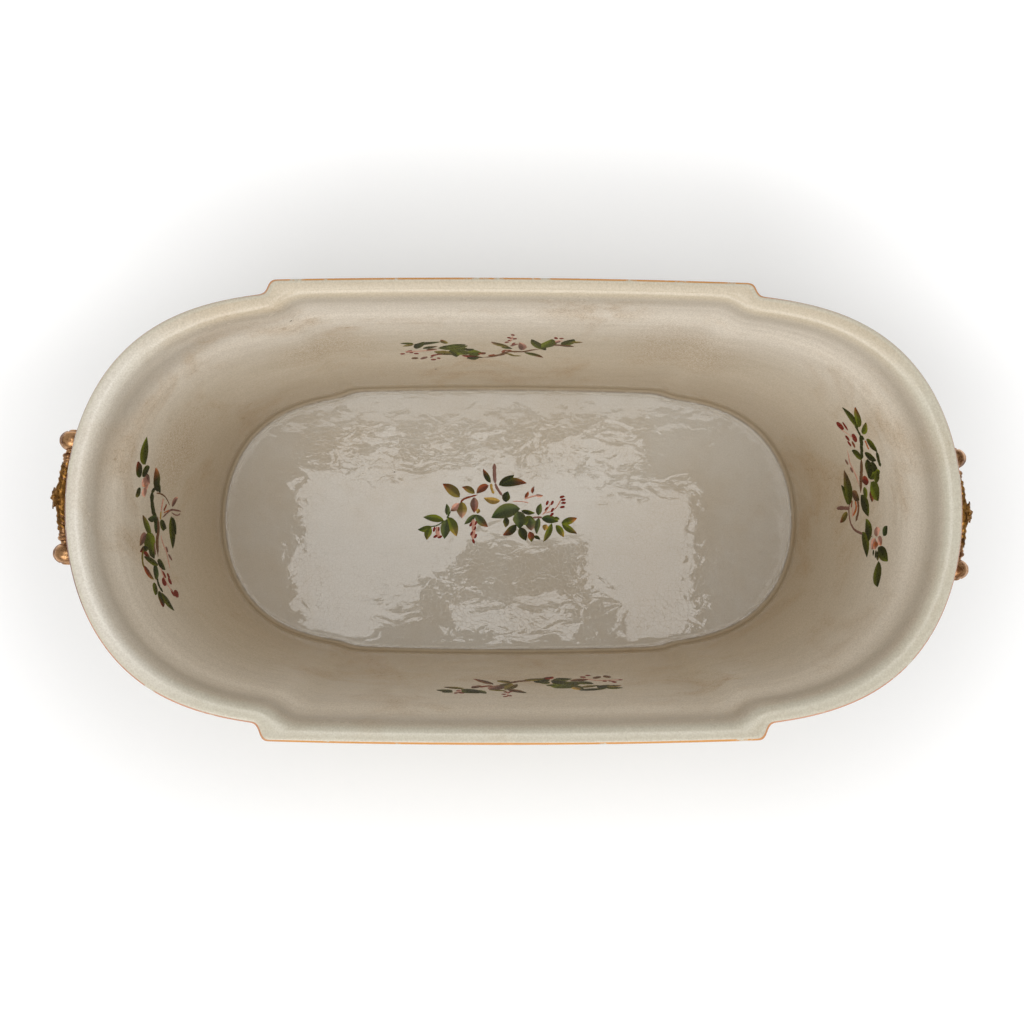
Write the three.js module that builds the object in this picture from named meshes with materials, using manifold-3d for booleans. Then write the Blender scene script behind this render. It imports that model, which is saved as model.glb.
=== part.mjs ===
// An oblong porcelain planter with stepped side panels and a gilt bronze handle at each end.
// Millimetres, +Z up. The origin is the middle of the foot's underside; the front is -Y.

import * as THREE from 'three';
import { mergeVertices } from 'three/addons/utils/BufferGeometryUtils.js';
import Module from 'manifold-3d';

const wasm = await Module();
wasm.setup();

// Pot: overall sizes, outside
const rimLength = 571.4;
const panelSpan = 297.6;
const endSpan = 280;
const endFullness = 5.2;
const endRoundness = 2.02;
const endSetBack = 1;
const height = 236;

// Pot: how far each part of the plan has drawn in where the wall meets the floor
const endLean = 43.5;
const endSideLean = 26.5;
const panelLean = 31.5;

// Pot: the two middle panels, which the hand-made original has of unlike length and a little to
// the left of the middle
const frontPanel = { half: 160.8, middle: -1.8, lean: 21.2, crown: 2.7, side: -1 };
const backPanel = { half: 156.7, middle: -3.1, lean: 17, crown: 2.3, side: 1 };

// Pot: the step from end to panel, crisp on the outside and slack on the inside
const crispStep = { half: 9.5, steepness: 5.5 };
const slackStep = { half: 17, steepness: 2.8 };

// Pot: thicknesses
const wall = 9.5;
const floorThickness = 12;
const footRecess = 9;

// Pot: rim, collar and the shoulder under it
const lipRound = 2.4;
const lipDepth = 5;
const collarDepth = 35;
const collarHollow = 4.5;
const beadRadius = 3.6;
const beadInset = 1.4;
const shoulderDepth = 43;
const shoulderInset = 2.5;
const shoulderFade = 90;

// Pot: the throat inside the rim, as depth below the rim and how much thicker than the wall it is
const throat = [
  [49, 2.5], [42, 2.1], [35.5, 1.1], [29, 0.7], [21, 1], [12, 1.7], [7, 1.8], [4, 1.3], [2, 0.3], [0.9, -0.9],
];

// Pot: foot and the narrow channel round the floor
const footHeight = 13;
const footFlare = 6;
const footRing = 17;
const footEdge = 1.5;
const waistInset = 3;
const waistHeight = 5;
const floorFillet = 2.2;
const channelDepth = 0.3;
const channelWidth = 3;

// Handles: where they sit. The left one was set a little towards the back and askew (degrees).
const handleShift = { left: 9.2, right: -0.4 };
const handleTurn = { left: -2.5, right: 0.6 };
const feetSpacing = 75.4;
const eyeDepth = 47;
const eyeReach = 11.5;
const footDrop = 21;

// Handles: scrolled arms, eyes and grip bar
const scrollOuter = 8;
const scrollInner = 4.4;
const scrollTurn = 2 * Math.PI;
const armHalfWidth = 7;
const armThickness = 5.6;
const armTipThickness = 4.6;
const eyeRadius = 4.1;
const eyeLength = 15;
const gripRadius = 2.8;
const gripBow = 6;
const beadOnGrip = 4.4;
const beadPlace = 27.5;

// Handles: round feet on the wall, and what fixes them
const lugRadius = 12;
const lugStretch = 1.35;
const lugProud = 2.6;
const footRadius = 11.2;
const footThickness = 4.6;
const seat = 0.3;
const studRadius = 3;
const studInFoot = 8;
const socketRadius = 6;
const socketDepth = 8;
const ribCount = 3;
const ribDepth = 0.5;

// Garlands
const garlandHalf = 22.5;
const garlandCover = 1;
const garlandBulge = 2.6;
const bulgeHalf = 11;
const leafLength = 4.6;
const leafWidth = 2.4;
const leafThickness = 1.2;
const leavesPerSide = 6;
const petalCount = 5;
const petalRadius = 2;
const petalRing = 2.8;
const blossomRadius = 2.2;
const rivetRadius = 1.2;
const rivetPlace = 16.5;

// Fineness of the facets
const endSteps = 10;
const ogeeStations = [-0.5, -0.2, 0, 0.2, 0.5, 1];
const panelSteps = 2;
const roundSides = 16;
const sectionSides = 12;

const glaze = { color: 0xcfc8b4, roughness: 0.22, metalness: 0 };
const giltBronze = { color: 0xb9834f, roughness: 0.32, metalness: 0.9 };
const agedBronze = { color: 0x7a5a2a, roughness: 0.45, metalness: 0.85 };
const brass = { color: 0xb08d4a, roughness: 0.4, metalness: 0.9 };
const cement = { color: 0xb9b3a6, roughness: 0.9, metalness: 0 };

const planter = new THREE.Group();

function addMesh(group, name, geometry, finish) {
  const mesh = new THREE.Mesh(geometry, new THREE.MeshStandardMaterial(finish));
  mesh.name = name;
  group.add(mesh);
  return mesh;
}

function toSolid(geometry) {
  const bare = geometry.clone();
  bare.deleteAttribute('normal');
  bare.deleteAttribute('uv');
  const merged = mergeVertices(bare, 1e-4);
  return new wasm.Manifold(new wasm.Mesh({
    numProp: 3,
    vertProperties: new Float32Array(merged.attributes.position.array),
    triVerts: new Uint32Array(merged.index.array),
  }));
}

function toGeometry(solid) {
  const mesh = solid.getMesh();
  const geometry = new THREE.BufferGeometry();
  geometry.setAttribute('position', new THREE.BufferAttribute(new Float32Array(mesh.vertProperties), 3));
  geometry.setIndex(new THREE.BufferAttribute(new Uint32Array(mesh.triVerts), 1));
  geometry.computeVertexNormals();
  return geometry;
}

function combine(added, removed = []) {
  const sum = added.map(toSolid).reduce((whole, piece) => whole.add(piece));
  return toGeometry(removed.map(toSolid).reduce((whole, piece) => whole.subtract(piece), sum));
}

// A closed skin through a stack of like rings, each counter-clockwise about the way of travel,
// with a flat cap on the first and the last. The contour is any ring drawn flat.
function loft(rings, contour) {
  const count = contour.length;
  const position = rings.flat().flatMap((point) => point.toArray());
  const index = [];
  for (let k = 0; k + 1 < rings.length; k += 1) {
    for (let i = 0; i < count; i += 1) {
      const a = k * count + i;
      const b = k * count + ((i + 1) % count);
      index.push(a, b, b + count);
      index.push(a, b + count, a + count);
    }
  }
  const last = (rings.length - 1) * count;
  for (const [a, b, c] of THREE.ShapeUtils.triangulateShape(contour, [])) {
    index.push(c, b, a);
    index.push(a + last, b + last, c + last);
  }
  const geometry = new THREE.BufferGeometry();
  geometry.setAttribute('position', new THREE.Float32BufferAttribute(position, 3));
  geometry.setIndex(index);
  geometry.computeVertexNormals();
  return geometry;
}

// A bar of elliptical section along a curve that lies in a plane. "side" is square to that plane;
// sectionAt(t) gives half the bar's size in the plane and half its size along "side".
function sweep(curve, side, sectionAt, steps, sides = sectionSides) {
  const contour = [];
  for (let i = 0; i < sides; i += 1) {
    const turn = (2 * Math.PI * i) / sides;
    contour.push(new THREE.Vector2(Math.cos(turn), Math.sin(turn)));
  }
  const rings = [];
  for (let k = 0; k <= steps; k += 1) {
    const middle = curve.getPointAt(k / steps);
    const across = side.clone().cross(curve.getTangentAt(k / steps)).normalize();
    const [inPlane, alongSide] = sectionAt(k / steps);
    rings.push(contour.map((point) => middle.clone()
      .addScaledVector(across, point.x * inPlane)
      .addScaledVector(side, point.y * alongSide)));
  }
  return loft(rings, contour);
}

// A turned piece lying along +X, from a profile of [radius, x] pairs.
function turned(profile, sides = roundSides) {
  const points = profile.map(([radius, x]) => new THREE.Vector2(radius, x));
  return new THREE.LatheGeometry(points, sides).rotateZ(-Math.PI / 2);
}

function rod(radius, from, to, sides = roundSides) {
  return turned([[0, from], [radius, from], [radius, to], [0, to]], sides);
}

// The pot's plan at one level. "lean" is 0 at the rim and 1 at the floor; "inset" is inward.
function planSizes(lean, inset) {
  return {
    end: rimLength / 2 - endLean * lean - inset,
    endSide: endSpan / 2 - endSideLean * lean - inset,
    face: panelSpan / 2 - panelLean * lean - inset,
    setBack: endSetBack * (1 - lean),
    half: (panel) => panel.half - panel.lean * lean - inset,
  };
}

// The step from end curve to panel: 0 outside, 1 on the panel, steepest in the middle.
function ogee(t, steepness) {
  const side = 1 - (1 - Math.min(Math.abs(t), 1)) ** steepness;
  return 0.5 * (1 + Math.sign(t) * side);
}

// A quarter of the plan, from the tip of one end to the middle of one panel, without either. It is
// drawn at the right end; "end" is 1 for that end, and -1 for the quarter to be flipped to the left.
function quarter(sizes, panel, step, end) {
  const half = sizes.half(panel) + end * panel.middle;
  const curveY = (x) => panel.side * sizes.setBack
    + sizes.endSide * (1 - (x / sizes.end) ** endFullness) ** (1 / endRoundness);
  const panelY = (x) => sizes.face - panel.crown * (x / half) ** 2;
  const points = [];
  const lastTurn = Math.acos(((half + step.half) / sizes.end) ** (endFullness / 2));
  for (let i = 1; i <= endSteps; i += 1) {
    const turn = (lastTurn * i) / endSteps;
    const x = sizes.end * Math.cos(turn) ** (2 / endFullness);
    points.push(new THREE.Vector2(x, curveY(x)));
  }
  for (const t of ogeeStations) {
    const x = half - t * step.half;
    points.push(new THREE.Vector2(x, curveY(x) + (panelY(x) - curveY(x)) * ogee(t, step.steepness)));
  }
  for (let i = 1; i < panelSteps; i += 1) {
    const x = (half - step.half) * (1 - i / panelSteps);
    points.push(new THREE.Vector2(x, panelY(x)));
  }
  return points;
}

// The whole plan, counter-clockwise seen from above.
function plan(lean, inset, step = crispStep) {
  const sizes = planSizes(lean, inset);
  const flip = (points, x, y) => points.map((point) => new THREE.Vector2(point.x * x, point.y * y));
  return [
    new THREE.Vector2(sizes.end, sizes.setBack),
    ...quarter(sizes, backPanel, step, 1),
    new THREE.Vector2(0, sizes.face),
    ...flip(quarter(sizes, backPanel, step, -1), -1, 1).reverse(),
    new THREE.Vector2(-sizes.end, sizes.setBack),
    ...flip(quarter(sizes, frontPanel, step, -1), -1, -1),
    new THREE.Vector2(0, -sizes.face),
    ...flip(quarter(sizes, frontPanel, step, 1), 1, -1).reverse(),
  ];
}

const floorZ = footRecess + floorThickness;
const depth = height - floorZ;
const leanAt = (z) => (height - z) / depth;

// The wall draws in a little below the collar and comes back to its straight line lower down.
function bodyInset(z) {
  const down = (height - shoulderDepth - z) / shoulderFade;
  return shoulderInset * (1 - THREE.MathUtils.smoothstep(down, 0, 1));
}

// How far out the end wall stands at a height, a distance "aside" from the tip.
function wallX(z, aside) {
  const sizes = planSizes(leanAt(z), bodyInset(z));
  return sizes.end * (1 - (aside / sizes.endSide) ** endRoundness) ** (1 / endFullness);
}

// A ring of the pot's skin: plumb ones keep the rim's plan, leaning ones follow the wall.
function ring(z, lean, inset, step) {
  return plan(lean, inset, step).map((point) => new THREE.Vector3(point.x, point.y, z));
}

const plumb = (down, inset) => ring(height - down, 0, inset);
const leaning = (z, inset, step) => ring(z, leanAt(z), inset, step);

// Outside of the pot, from under the floor, round the foot and up to the rim.
function outside() {
  const rings = [
    leaning(footRecess, footRing - footFlare + footEdge),
    leaning(0, footRing - footFlare),
    leaning(0, footEdge - footFlare),
    leaning(footEdge, -footFlare),
    leaning(footHeight * 0.7, -footFlare),
    leaning(footHeight, footEdge * 2 - footFlare),
    leaning(footHeight + waistHeight / 2, waistInset),
    leaning(footHeight + waistHeight, waistInset * 0.6),
  ];
  const bodyBottom = footHeight + waistHeight * 2;
  const bodyTop = height - collarDepth - beadRadius;
  const bodyRings = 5;
  for (let i = 0; i <= bodyRings; i += 1) {
    const z = THREE.MathUtils.lerp(bodyBottom, bodyTop, i / bodyRings);
    rings.push(leaning(z, bodyInset(z)));
  }
  const beadRings = 4;
  for (let i = 0; i <= beadRings; i += 1) {
    const turn = Math.PI * (i / beadRings);
    const out = beadRadius * Math.sin(turn);
    rings.push(plumb(collarDepth - beadRadius + beadRadius * Math.cos(turn), beadInset + beadRadius - out));
  }
  rings.push(plumb(collarDepth * 0.55, collarHollow));
  rings.push(plumb(collarDepth * 0.3, collarHollow * 0.8));
  rings.push(plumb(lipDepth + 1, 1.6));
  rings.push(plumb(lipDepth, 0.3));
  rings.push(plumb(lipRound, 0));
  rings.push(plumb(lipRound * 0.3, lipRound * 0.3));
  rings.push(plumb(0, lipRound));
  return loft(rings, plan(0, 0));
}

// The hollow of the pot, from the floor up through the rim.
function inside() {
  const hollow = (z, inset) => leaning(z, inset, slackStep);
  const rings = [
    hollow(floorZ, wall + floorFillet + channelWidth),
    hollow(floorZ - channelDepth, wall + floorFillet + channelWidth * 0.6),
    hollow(floorZ - channelDepth, wall + floorFillet),
  ];
  for (const turn of [Math.PI / 6, Math.PI / 3, Math.PI / 2]) {
    const z = floorZ - channelDepth + floorFillet * (1 - Math.cos(turn));
    rings.push(hollow(z, wall + floorFillet * (1 - Math.sin(turn))));
  }
  const wallBottom = floorZ + floorFillet * 4;
  const wallTop = height - throat[0][0] - beadRadius * 2;
  const wallRings = 4;
  for (let i = 0; i <= wallRings; i += 1) {
    const z = THREE.MathUtils.lerp(wallBottom, wallTop, i / wallRings);
    rings.push(hollow(z, wall + bodyInset(z)));
  }
  for (const [down, thicker] of throat) {
    rings.push(hollow(height - down, wall + thicker));
  }
  rings.push(plumb(0, wall - lipRound));
  rings.push(plumb(-2, wall - lipRound));
  return loft(rings, plan(0, 0));
}

// Handles are drawn at the +X end: x outward, y along the end, z up. The left one is turned round.
const eyeX = rimLength / 2 + eyeReach;
const eyeZ = height - eyeDepth;
const footZ = eyeZ - footDrop;
const lugFace = wallX(footZ, feetSpacing / 2 - lugRadius) + lugProud;
const footFace = lugFace + seat;
const footFront = footFace + footThickness;
const sides = { right: 0, left: Math.PI };
const ends = [-1, 1];
const upward = new THREE.Vector3(0, 0, 1);

// One handle's pieces stand in a group that is shifted to its end of the pot, and turned about
// the middle of its grip.
function handlePlace(side) {
  const place = new THREE.Group();
  place.rotation.z = sides[side] + THREE.MathUtils.degToRad(handleTurn[side]);
  const straight = new THREE.Vector3(eyeX, 0, 0).applyAxisAngle(upward, sides[side]);
  const askew = new THREE.Vector3(eyeX, 0, 0).applyAxisAngle(upward, place.rotation.z);
  place.position.copy(straight.sub(askew));
  place.position.y += handleShift[side];
  place.updateMatrix();
  return place;
}

const endName = (side, end) => ((side === 'left' ? -end : end) > 0 ? 'back' : 'front');

// A raised lug on the wall gives each handle foot a plumb seat, and holds its blind socket.
function body() {
  const lugs = [];
  const sockets = [];
  for (const side of Object.keys(sides)) {
    const { matrix } = handlePlace(side);
    for (const end of ends) {
      const y = (end * feetSpacing) / 2;
      const lug = rod(lugRadius, lugFace - wall * 3, lugFace, roundSides + 4).scale(1, 1, lugStretch);
      const socket = rod(socketRadius, lugFace - socketDepth, lugFace + 1);
      lugs.push(lug.translate(0, y, footZ).applyMatrix4(matrix));
      sockets.push(socket.translate(0, y, footZ).applyMatrix4(matrix));
    }
  }
  return combine([outside(), ...lugs], [inside(), ...sockets]);
}

// The arm leaves its foot level, swings under the eye, and rolls over it into the scroll.
function armCurve(y) {
  const points = [];
  const rise = new THREE.CubicBezierCurve(
    new THREE.Vector2(footFace + footThickness / 2, footZ),
    new THREE.Vector2(footFront + footDrop * 0.45, footZ - 1),
    new THREE.Vector2(eyeX - footDrop * 0.7, eyeZ - scrollOuter),
    new THREE.Vector2(eyeX, eyeZ - scrollOuter),
  );
  for (const point of rise.getPoints(6)) {
    points.push(new THREE.Vector3(point.x, y, point.y));
  }
  const rollSteps = 12;
  for (let i = 1; i <= rollSteps; i += 1) {
    const turn = (scrollTurn * i) / rollSteps - Math.PI / 2;
    const radius = THREE.MathUtils.lerp(scrollOuter, scrollInner, i / rollSteps);
    points.push(new THREE.Vector3(eyeX + radius * Math.cos(turn), y, eyeZ + radius * Math.sin(turn)));
  }
  return new THREE.CatmullRomCurve3(points);
}

const acrossY = new THREE.Vector3(0, -1, 0);

function arm(y) {
  const section = (t) => [
    THREE.MathUtils.lerp(armThickness, armTipThickness, t) / 2,
    armHalfWidth * (0.62 + 0.38 * THREE.MathUtils.smoothstep(t, 0, 0.5)),
  ];
  return sweep(armCurve(y), acrossY, section, 22, 8);
}

const gripCurve = new THREE.QuadraticBezierCurve3(
  new THREE.Vector3(eyeX, -feetSpacing / 2, eyeZ),
  new THREE.Vector3(eyeX + 2 * gripBow, 0, eyeZ),
  new THREE.Vector3(eyeX, feetSpacing / 2, eyeZ),
);
const gripPoint = (y) => gripCurve.getPoint(y / feetSpacing + 0.5);

function grip(extra) {
  return sweep(gripCurve, upward, () => [gripRadius + extra, gripRadius + extra], 14);
}

function rivetHole(y) {
  const { x } = gripPoint(y);
  return rod(rivetRadius + seat, x - gripRadius - 2, x + gripRadius + 8, 10).translate(0, y, eyeZ);
}

function casting() {
  const added = [grip(0)];
  const removed = [];
  for (const end of ends) {
    const y = (end * feetSpacing) / 2;
    const foot = turned([
      [0, footFace],
      [footRadius, footFace],
      [footRadius, footFace + footThickness * 0.4],
      [footRadius * 0.8, footFace + footThickness * 0.8],
      [footRadius * 0.55, footFront],
      [studRadius + 2.6, footFront + studInFoot * 0.75],
      [0, footFront + studInFoot * 0.9],
    ]).scale(1, 1, lugStretch);
    added.push(foot.translate(0, y, footZ));
    added.push(arm(y));
    const eye = turned([
      [0, -eyeLength / 2],
      [eyeRadius * 0.7, -eyeLength / 2],
      [eyeRadius, -eyeLength / 2 + 1.2],
      [eyeRadius, eyeLength / 2 - 1.2],
      [eyeRadius * 0.7, eyeLength / 2],
      [0, eyeLength / 2],
    ], sectionSides);
    added.push(eye.rotateZ(Math.PI / 2).translate(eyeX, y, eyeZ));
    const bead = new THREE.SphereGeometry(beadOnGrip, 8, 6).scale(1, 0.6, 1);
    const place = gripPoint(end * beadPlace);
    added.push(bead.translate(place.x, place.y, place.z));
    removed.push(rod(studRadius + seat, footFace - 1, footFace + studInFoot + seat).translate(0, y, footZ));
    removed.push(rivetHole(end * rivetPlace));
  }
  return combine(added, removed);
}

// How thick the garland is round the grip: thin towards its ends, with a bulge in the middle.
function garlandRadius(y) {
  const share = Math.min(Math.abs(y) / bulgeHalf, 1);
  return gripRadius + garlandCover + (garlandBulge * (1 + Math.cos(Math.PI * share))) / 2;
}

function leaf(y, tilt, out, length) {
  const blade = new THREE.SphereGeometry(1, 6, 4).scale(leafWidth, length, leafThickness);
  const turnOut = new THREE.Matrix4().makeRotationY(out);
  const turnAlong = new THREE.Matrix4().makeRotationZ(tilt);
  const { x } = gripPoint(y);
  const reach = garlandRadius(y);
  blade.applyMatrix4(turnAlong);
  blade.translate(0, 0, reach);
  blade.applyMatrix4(turnOut);
  return blade.translate(x, y, eyeZ);
}

// A cast garland that saddles the grip bar from outside: leaves towards both ends, a blossom between.
function garland() {
  const added = [];
  const length = 2 * garlandHalf;
  const spine = new THREE.QuadraticBezierCurve3(
    gripPoint(-garlandHalf).add(new THREE.Vector3(garlandCover, 0, 0)),
    gripPoint(0).multiplyScalar(2).sub(gripPoint(garlandHalf)).setY(0).setZ(eyeZ)
      .add(new THREE.Vector3(garlandCover, 0, 0)),
    gripPoint(garlandHalf).add(new THREE.Vector3(garlandCover, 0, 0)),
  );
  const section = (t) => new Array(2).fill(garlandRadius((t - 0.5) * length));
  added.push(sweep(spine, upward, section, 18, 10));
  for (let i = 0; i < leavesPerSide; i += 1) {
    const share = i / (leavesPerSide - 1);
    const y = THREE.MathUtils.lerp(garlandHalf * 0.3, garlandHalf * 0.9, share);
    const size = THREE.MathUtils.lerp(1.1, 0.75, share);
    const out = [0.35, 1.15, 1.95][i % 3];
    for (const end of ends) {
      added.push(leaf(end * y, end * (i % 2 ? 0.5 : -0.5), out, leafLength * size));
    }
  }
  const heart = gripPoint(0);
  const facing = new THREE.Vector3(0.55, 0, 0.83).normalize();
  const reach = garlandRadius(0) - blossomRadius / 4;
  const blossom = new THREE.SphereGeometry(blossomRadius, 7, 5);
  const middle = heart.clone().addScaledVector(facing, reach);
  added.push(blossom.translate(middle.x, middle.y, middle.z));
  const along = new THREE.Vector3(0, 1, 0);
  const square = facing.clone().cross(along);
  for (let i = 0; i < petalCount; i += 1) {
    const turn = (2 * Math.PI * i) / petalCount;
    const petal = new THREE.SphereGeometry(petalRadius, 7, 5);
    const place = middle.clone()
      .addScaledVector(facing, -garlandBulge / 3)
      .addScaledVector(along, petalRing * Math.cos(turn))
      .addScaledVector(square, petalRing * Math.sin(turn));
    added.push(petal.translate(place.x, place.y, place.z));
  }
  const opening = new THREE.BoxGeometry(gripRadius * 4, length * 1.2, (gripRadius + seat) * 2);
  opening.translate(gripPoint(garlandHalf).x - gripRadius * 2, 0, eyeZ);
  const holes = ends.map((end) => rivetHole(end * rivetPlace));
  return combine(added, [grip(seat), opening, ...holes]);
}

// A ribbed brass stud, half in the handle's foot and half in its socket.
function stud() {
  const tail = lugFace - socketDepth + 2 * seat;
  const profile = [[0, tail]];
  const pitch = (lugFace - tail) / ribCount;
  for (let i = 0; i < ribCount; i += 1) {
    const start = tail + i * pitch;
    profile.push([studRadius - ribDepth, start]);
    profile.push([studRadius, start + pitch * 0.3]);
    profile.push([studRadius, start + pitch * 0.7]);
  }
  profile.push([studRadius - ribDepth, lugFace]);
  profile.push([studRadius, footFace]);
  profile.push([studRadius, footFace + studInFoot - ribDepth]);
  profile.push([studRadius - ribDepth, footFace + studInFoot]);
  profile.push([0, footFace + studInFoot]);
  return turned(profile, 12);
}

// The cement that fills the socket round the stud, open towards the handle's foot.
function cementBed() {
  const bottom = lugFace - socketDepth + seat * 0.5;
  return turned([
    [0, bottom],
    [socketRadius - seat, bottom],
    [socketRadius - seat, lugFace],
    [studRadius + seat, lugFace],
    [studRadius + seat, bottom + seat],
    [0, bottom + seat],
  ]);
}

function rivet(y) {
  const { x } = gripPoint(y);
  const back = x - gripRadius;
  const front = x + gripRadius + garlandCover;
  return turned([
    [0, back],
    [rivetRadius * 0.6, back],
    [rivetRadius, back + rivetRadius * 0.4],
    [rivetRadius, front - rivetRadius * 0.4],
    [rivetRadius * 0.6, front],
    [0, front],
  ], 10).translate(0, y, eyeZ);
}

addMesh(planter, 'porcelain_body', body(), glaze);

for (const side of Object.keys(sides)) {
  const place = handlePlace(side);
  planter.add(place);
  addMesh(place, `${side}_handle_casting`, casting(), giltBronze);
  addMesh(place, `${side}_garland`, garland(), agedBronze);
  for (const end of ends) {
    const name = `${side}_${endName(side, end)}`;
    for (const [piece, geometry, finish] of [['stud', stud(), brass], ['cement', cementBed(), cement]]) {
      addMesh(place, `${name}_${piece}`, geometry, finish).position.set(0, (end * feetSpacing) / 2, footZ);
    }
    addMesh(place, `${name}_garland_pin`, rivet(end * rivetPlace), brass);
  }
}

export default planter;
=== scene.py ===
import math

import bpy
import numpy as np
from mathutils import Matrix, Vector


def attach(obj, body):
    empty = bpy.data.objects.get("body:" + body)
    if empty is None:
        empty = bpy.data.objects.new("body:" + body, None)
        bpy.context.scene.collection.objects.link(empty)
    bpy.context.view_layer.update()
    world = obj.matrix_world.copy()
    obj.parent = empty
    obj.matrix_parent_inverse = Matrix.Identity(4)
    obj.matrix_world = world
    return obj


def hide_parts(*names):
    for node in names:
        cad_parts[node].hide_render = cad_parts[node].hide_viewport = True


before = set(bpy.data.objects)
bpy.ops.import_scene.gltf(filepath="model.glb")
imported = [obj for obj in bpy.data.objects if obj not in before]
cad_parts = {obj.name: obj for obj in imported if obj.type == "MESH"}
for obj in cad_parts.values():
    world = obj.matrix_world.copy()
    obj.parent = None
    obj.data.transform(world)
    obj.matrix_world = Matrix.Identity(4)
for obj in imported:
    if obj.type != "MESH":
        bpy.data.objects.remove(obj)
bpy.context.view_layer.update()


# Camera
# The photograph was taken from straight above the pot, about 755 mm over the rim, with the
# camera a little towards the front and aimed back at the middle of the pot.

camera_place = Vector((-0.0221, -0.0276, 0.9909))
camera_aim = Vector((-0.0037, -0.0015, 0.236))
top_of_picture = Vector((-0.0020, 1.0, 0.0))

camera = bpy.data.objects.new("camera", bpy.data.cameras.new("camera"))
bpy.context.scene.collection.objects.link(camera)
bpy.context.scene.camera = camera
camera.data.sensor_width = 36
camera.data.lens = 41.87
camera.data.clip_start = 0.05
camera.data.clip_end = 50
towards = (camera_aim - camera_place).normalized()
rightward = towards.cross(top_of_picture).normalized()
camera.matrix_world = Matrix.LocRotScale(
    camera_place, Matrix((rightward, rightward.cross(towards), -towards)).transposed(), None
)


# Porcelain pot
# One piece of moulded porcelain: floor, leaning wall with a stepped-out panel on each long side,
# a hollow collar between a bead and the lip, and a spreading foot with a ring left bare of glaze.
# Lugs on the end walls give the handles a plumb seat, and hold the sockets of their studs.

# Sizes are in mm, and each mesh is made in metres. In plan the rounded ends are fuller than an ellipse
MM = 0.001
HEIGHT = 236.0
FLOOR_TOP = 21.0
DEPTH = HEIGHT - FLOOR_TOP
RIM_END = 285.7
RIM_SIDE = 140.0
RIM_FACE = 148.8
END_LEAN = 43.5
SIDE_LEAN = 26.5
FACE_LEAN = 31.5
FULLNESS = 5.2
ROUNDNESS = 2.02
SET_BACK = 1.0
FRONT_PANEL = dict(side=-1, half=160.8, middle=-1.8, lean=21.2, crown=2.7)
BACK_PANEL = dict(side=1, half=156.7, middle=-3.1, lean=17.0, crown=2.3)
STEP_HALF = 9.5
STEP_STEEPNESS = 5.5
INNER_STEP_HALF = 17.0
INNER_STEP_STEEPNESS = 2.8
CURVE_POINTS = 44
FLAT_POINTS = 11
WALL = 9.5


def lean_at(z):
    """How far down the leaning wall a height is, from 0 at the rim to 1 at the floor."""
    return (HEIGHT - z) / DEPTH


def wall_inset(z):
    """How far the wall has drawn in under the collar, in mm."""
    t = min(max((193.0 - z) / 90.0, 0.0), 1.0)
    return 2.5 * (1 - t * t * (3 - 2 * t))


def end_y(x, lean, inset):
    """Half width of the rounded end at a distance x along the pot."""
    end = RIM_END - END_LEAN * lean - inset
    side = RIM_SIDE - SIDE_LEAN * lean - inset
    share = np.clip(np.abs(x) / end, 0, 1)
    return side * (1 - share**FULLNESS) ** (1 / ROUNDNESS)


def end_x(y, z, inset):
    """How far out the rounded end stands at a distance y from the middle."""
    lean = lean_at(z)
    end = RIM_END - END_LEAN * lean - inset
    side = RIM_SIDE - SIDE_LEAN * lean - inset
    share = np.clip(np.abs(y - SET_BACK * (1 - lean)) / side, 0, 1)
    return end * (1 - share**ROUNDNESS) ** (1 / FULLNESS)


def panel_half(panel, lean, inset, end):
    """How far the panel reaches to the right end (1) or the left end (-1)."""
    return panel["half"] + end * panel["middle"] - panel["lean"] * lean - inset


def panel_y(x, panel, lean, inset, end):
    """Half width at the panel."""
    half = panel_half(panel, lean, inset, end)
    return RIM_FACE - FACE_LEAN * lean - inset - panel["crown"] * (x / half) ** 2


def quarter_plan(panel, lean, inset, soft, towards_end):
    """A quarter of the plan from the tip of an end to the middle of a panel, without either.
    The panel's step goes from crisp to slack as soft goes from 0 to 1."""
    step_half = STEP_HALF + (INNER_STEP_HALF - STEP_HALF) * soft
    steepness = STEP_STEEPNESS + (INNER_STEP_STEEPNESS - STEP_STEEPNESS) * soft
    end = RIM_END - END_LEAN * lean - inset
    half = panel_half(panel, lean, inset, towards_end)
    back = panel["side"] * SET_BACK * (1 - lean)
    last = math.acos(((half + step_half) / end) ** (FULLNESS / 2))
    turn = last * np.arange(1, CURVE_POINTS + 1) / CURVE_POINTS
    curve_x = end * np.cos(turn) ** (2 / FULLNESS)
    half_step = np.array([0.07, 0.14, 0.22, 0.32, 0.45, 0.6, 0.8])
    step = np.concatenate([-half_step[::-1], [0], half_step, [1]])
    rise = 0.5 * (1 + np.sign(step) * (1 - (1 - np.abs(step)) ** steepness))
    step_x = half - step * step_half
    step_y = end_y(step_x, lean, inset) + back
    step_y = step_y + (panel_y(step_x, panel, lean, inset, towards_end) - step_y) * rise
    flat_x = (half - step_half) * (1 - np.arange(1, FLAT_POINTS + 1) / (FLAT_POINTS + 1))
    x = np.concatenate([curve_x, step_x, flat_x])
    flat_y = panel_y(flat_x, panel, lean, inset, towards_end)
    y = np.concatenate([end_y(curve_x, lean, inset) + back, step_y, flat_y])
    return np.stack([x, y], axis=1)


def pot_plan(lean, inset, soft):
    """The whole plan, counter-clockwise seen from above."""
    back_right, back_left = [quarter_plan(BACK_PANEL, lean, inset, soft, end) for end in (1, -1)]
    front_right, front_left = [quarter_plan(FRONT_PANEL, lean, inset, soft, end) for end in (1, -1)]
    tip = [RIM_END - END_LEAN * lean - inset, SET_BACK * (1 - lean)]
    face = [0, RIM_FACE - FACE_LEAN * lean - inset]
    return np.concatenate([
        [tip], back_right, [face], (back_left * [-1, 1])[::-1],
        [[-tip[0], tip[1]]], front_left * [-1, -1], [[0, -face[1]]], (front_right * [1, -1])[::-1],
    ])


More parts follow.
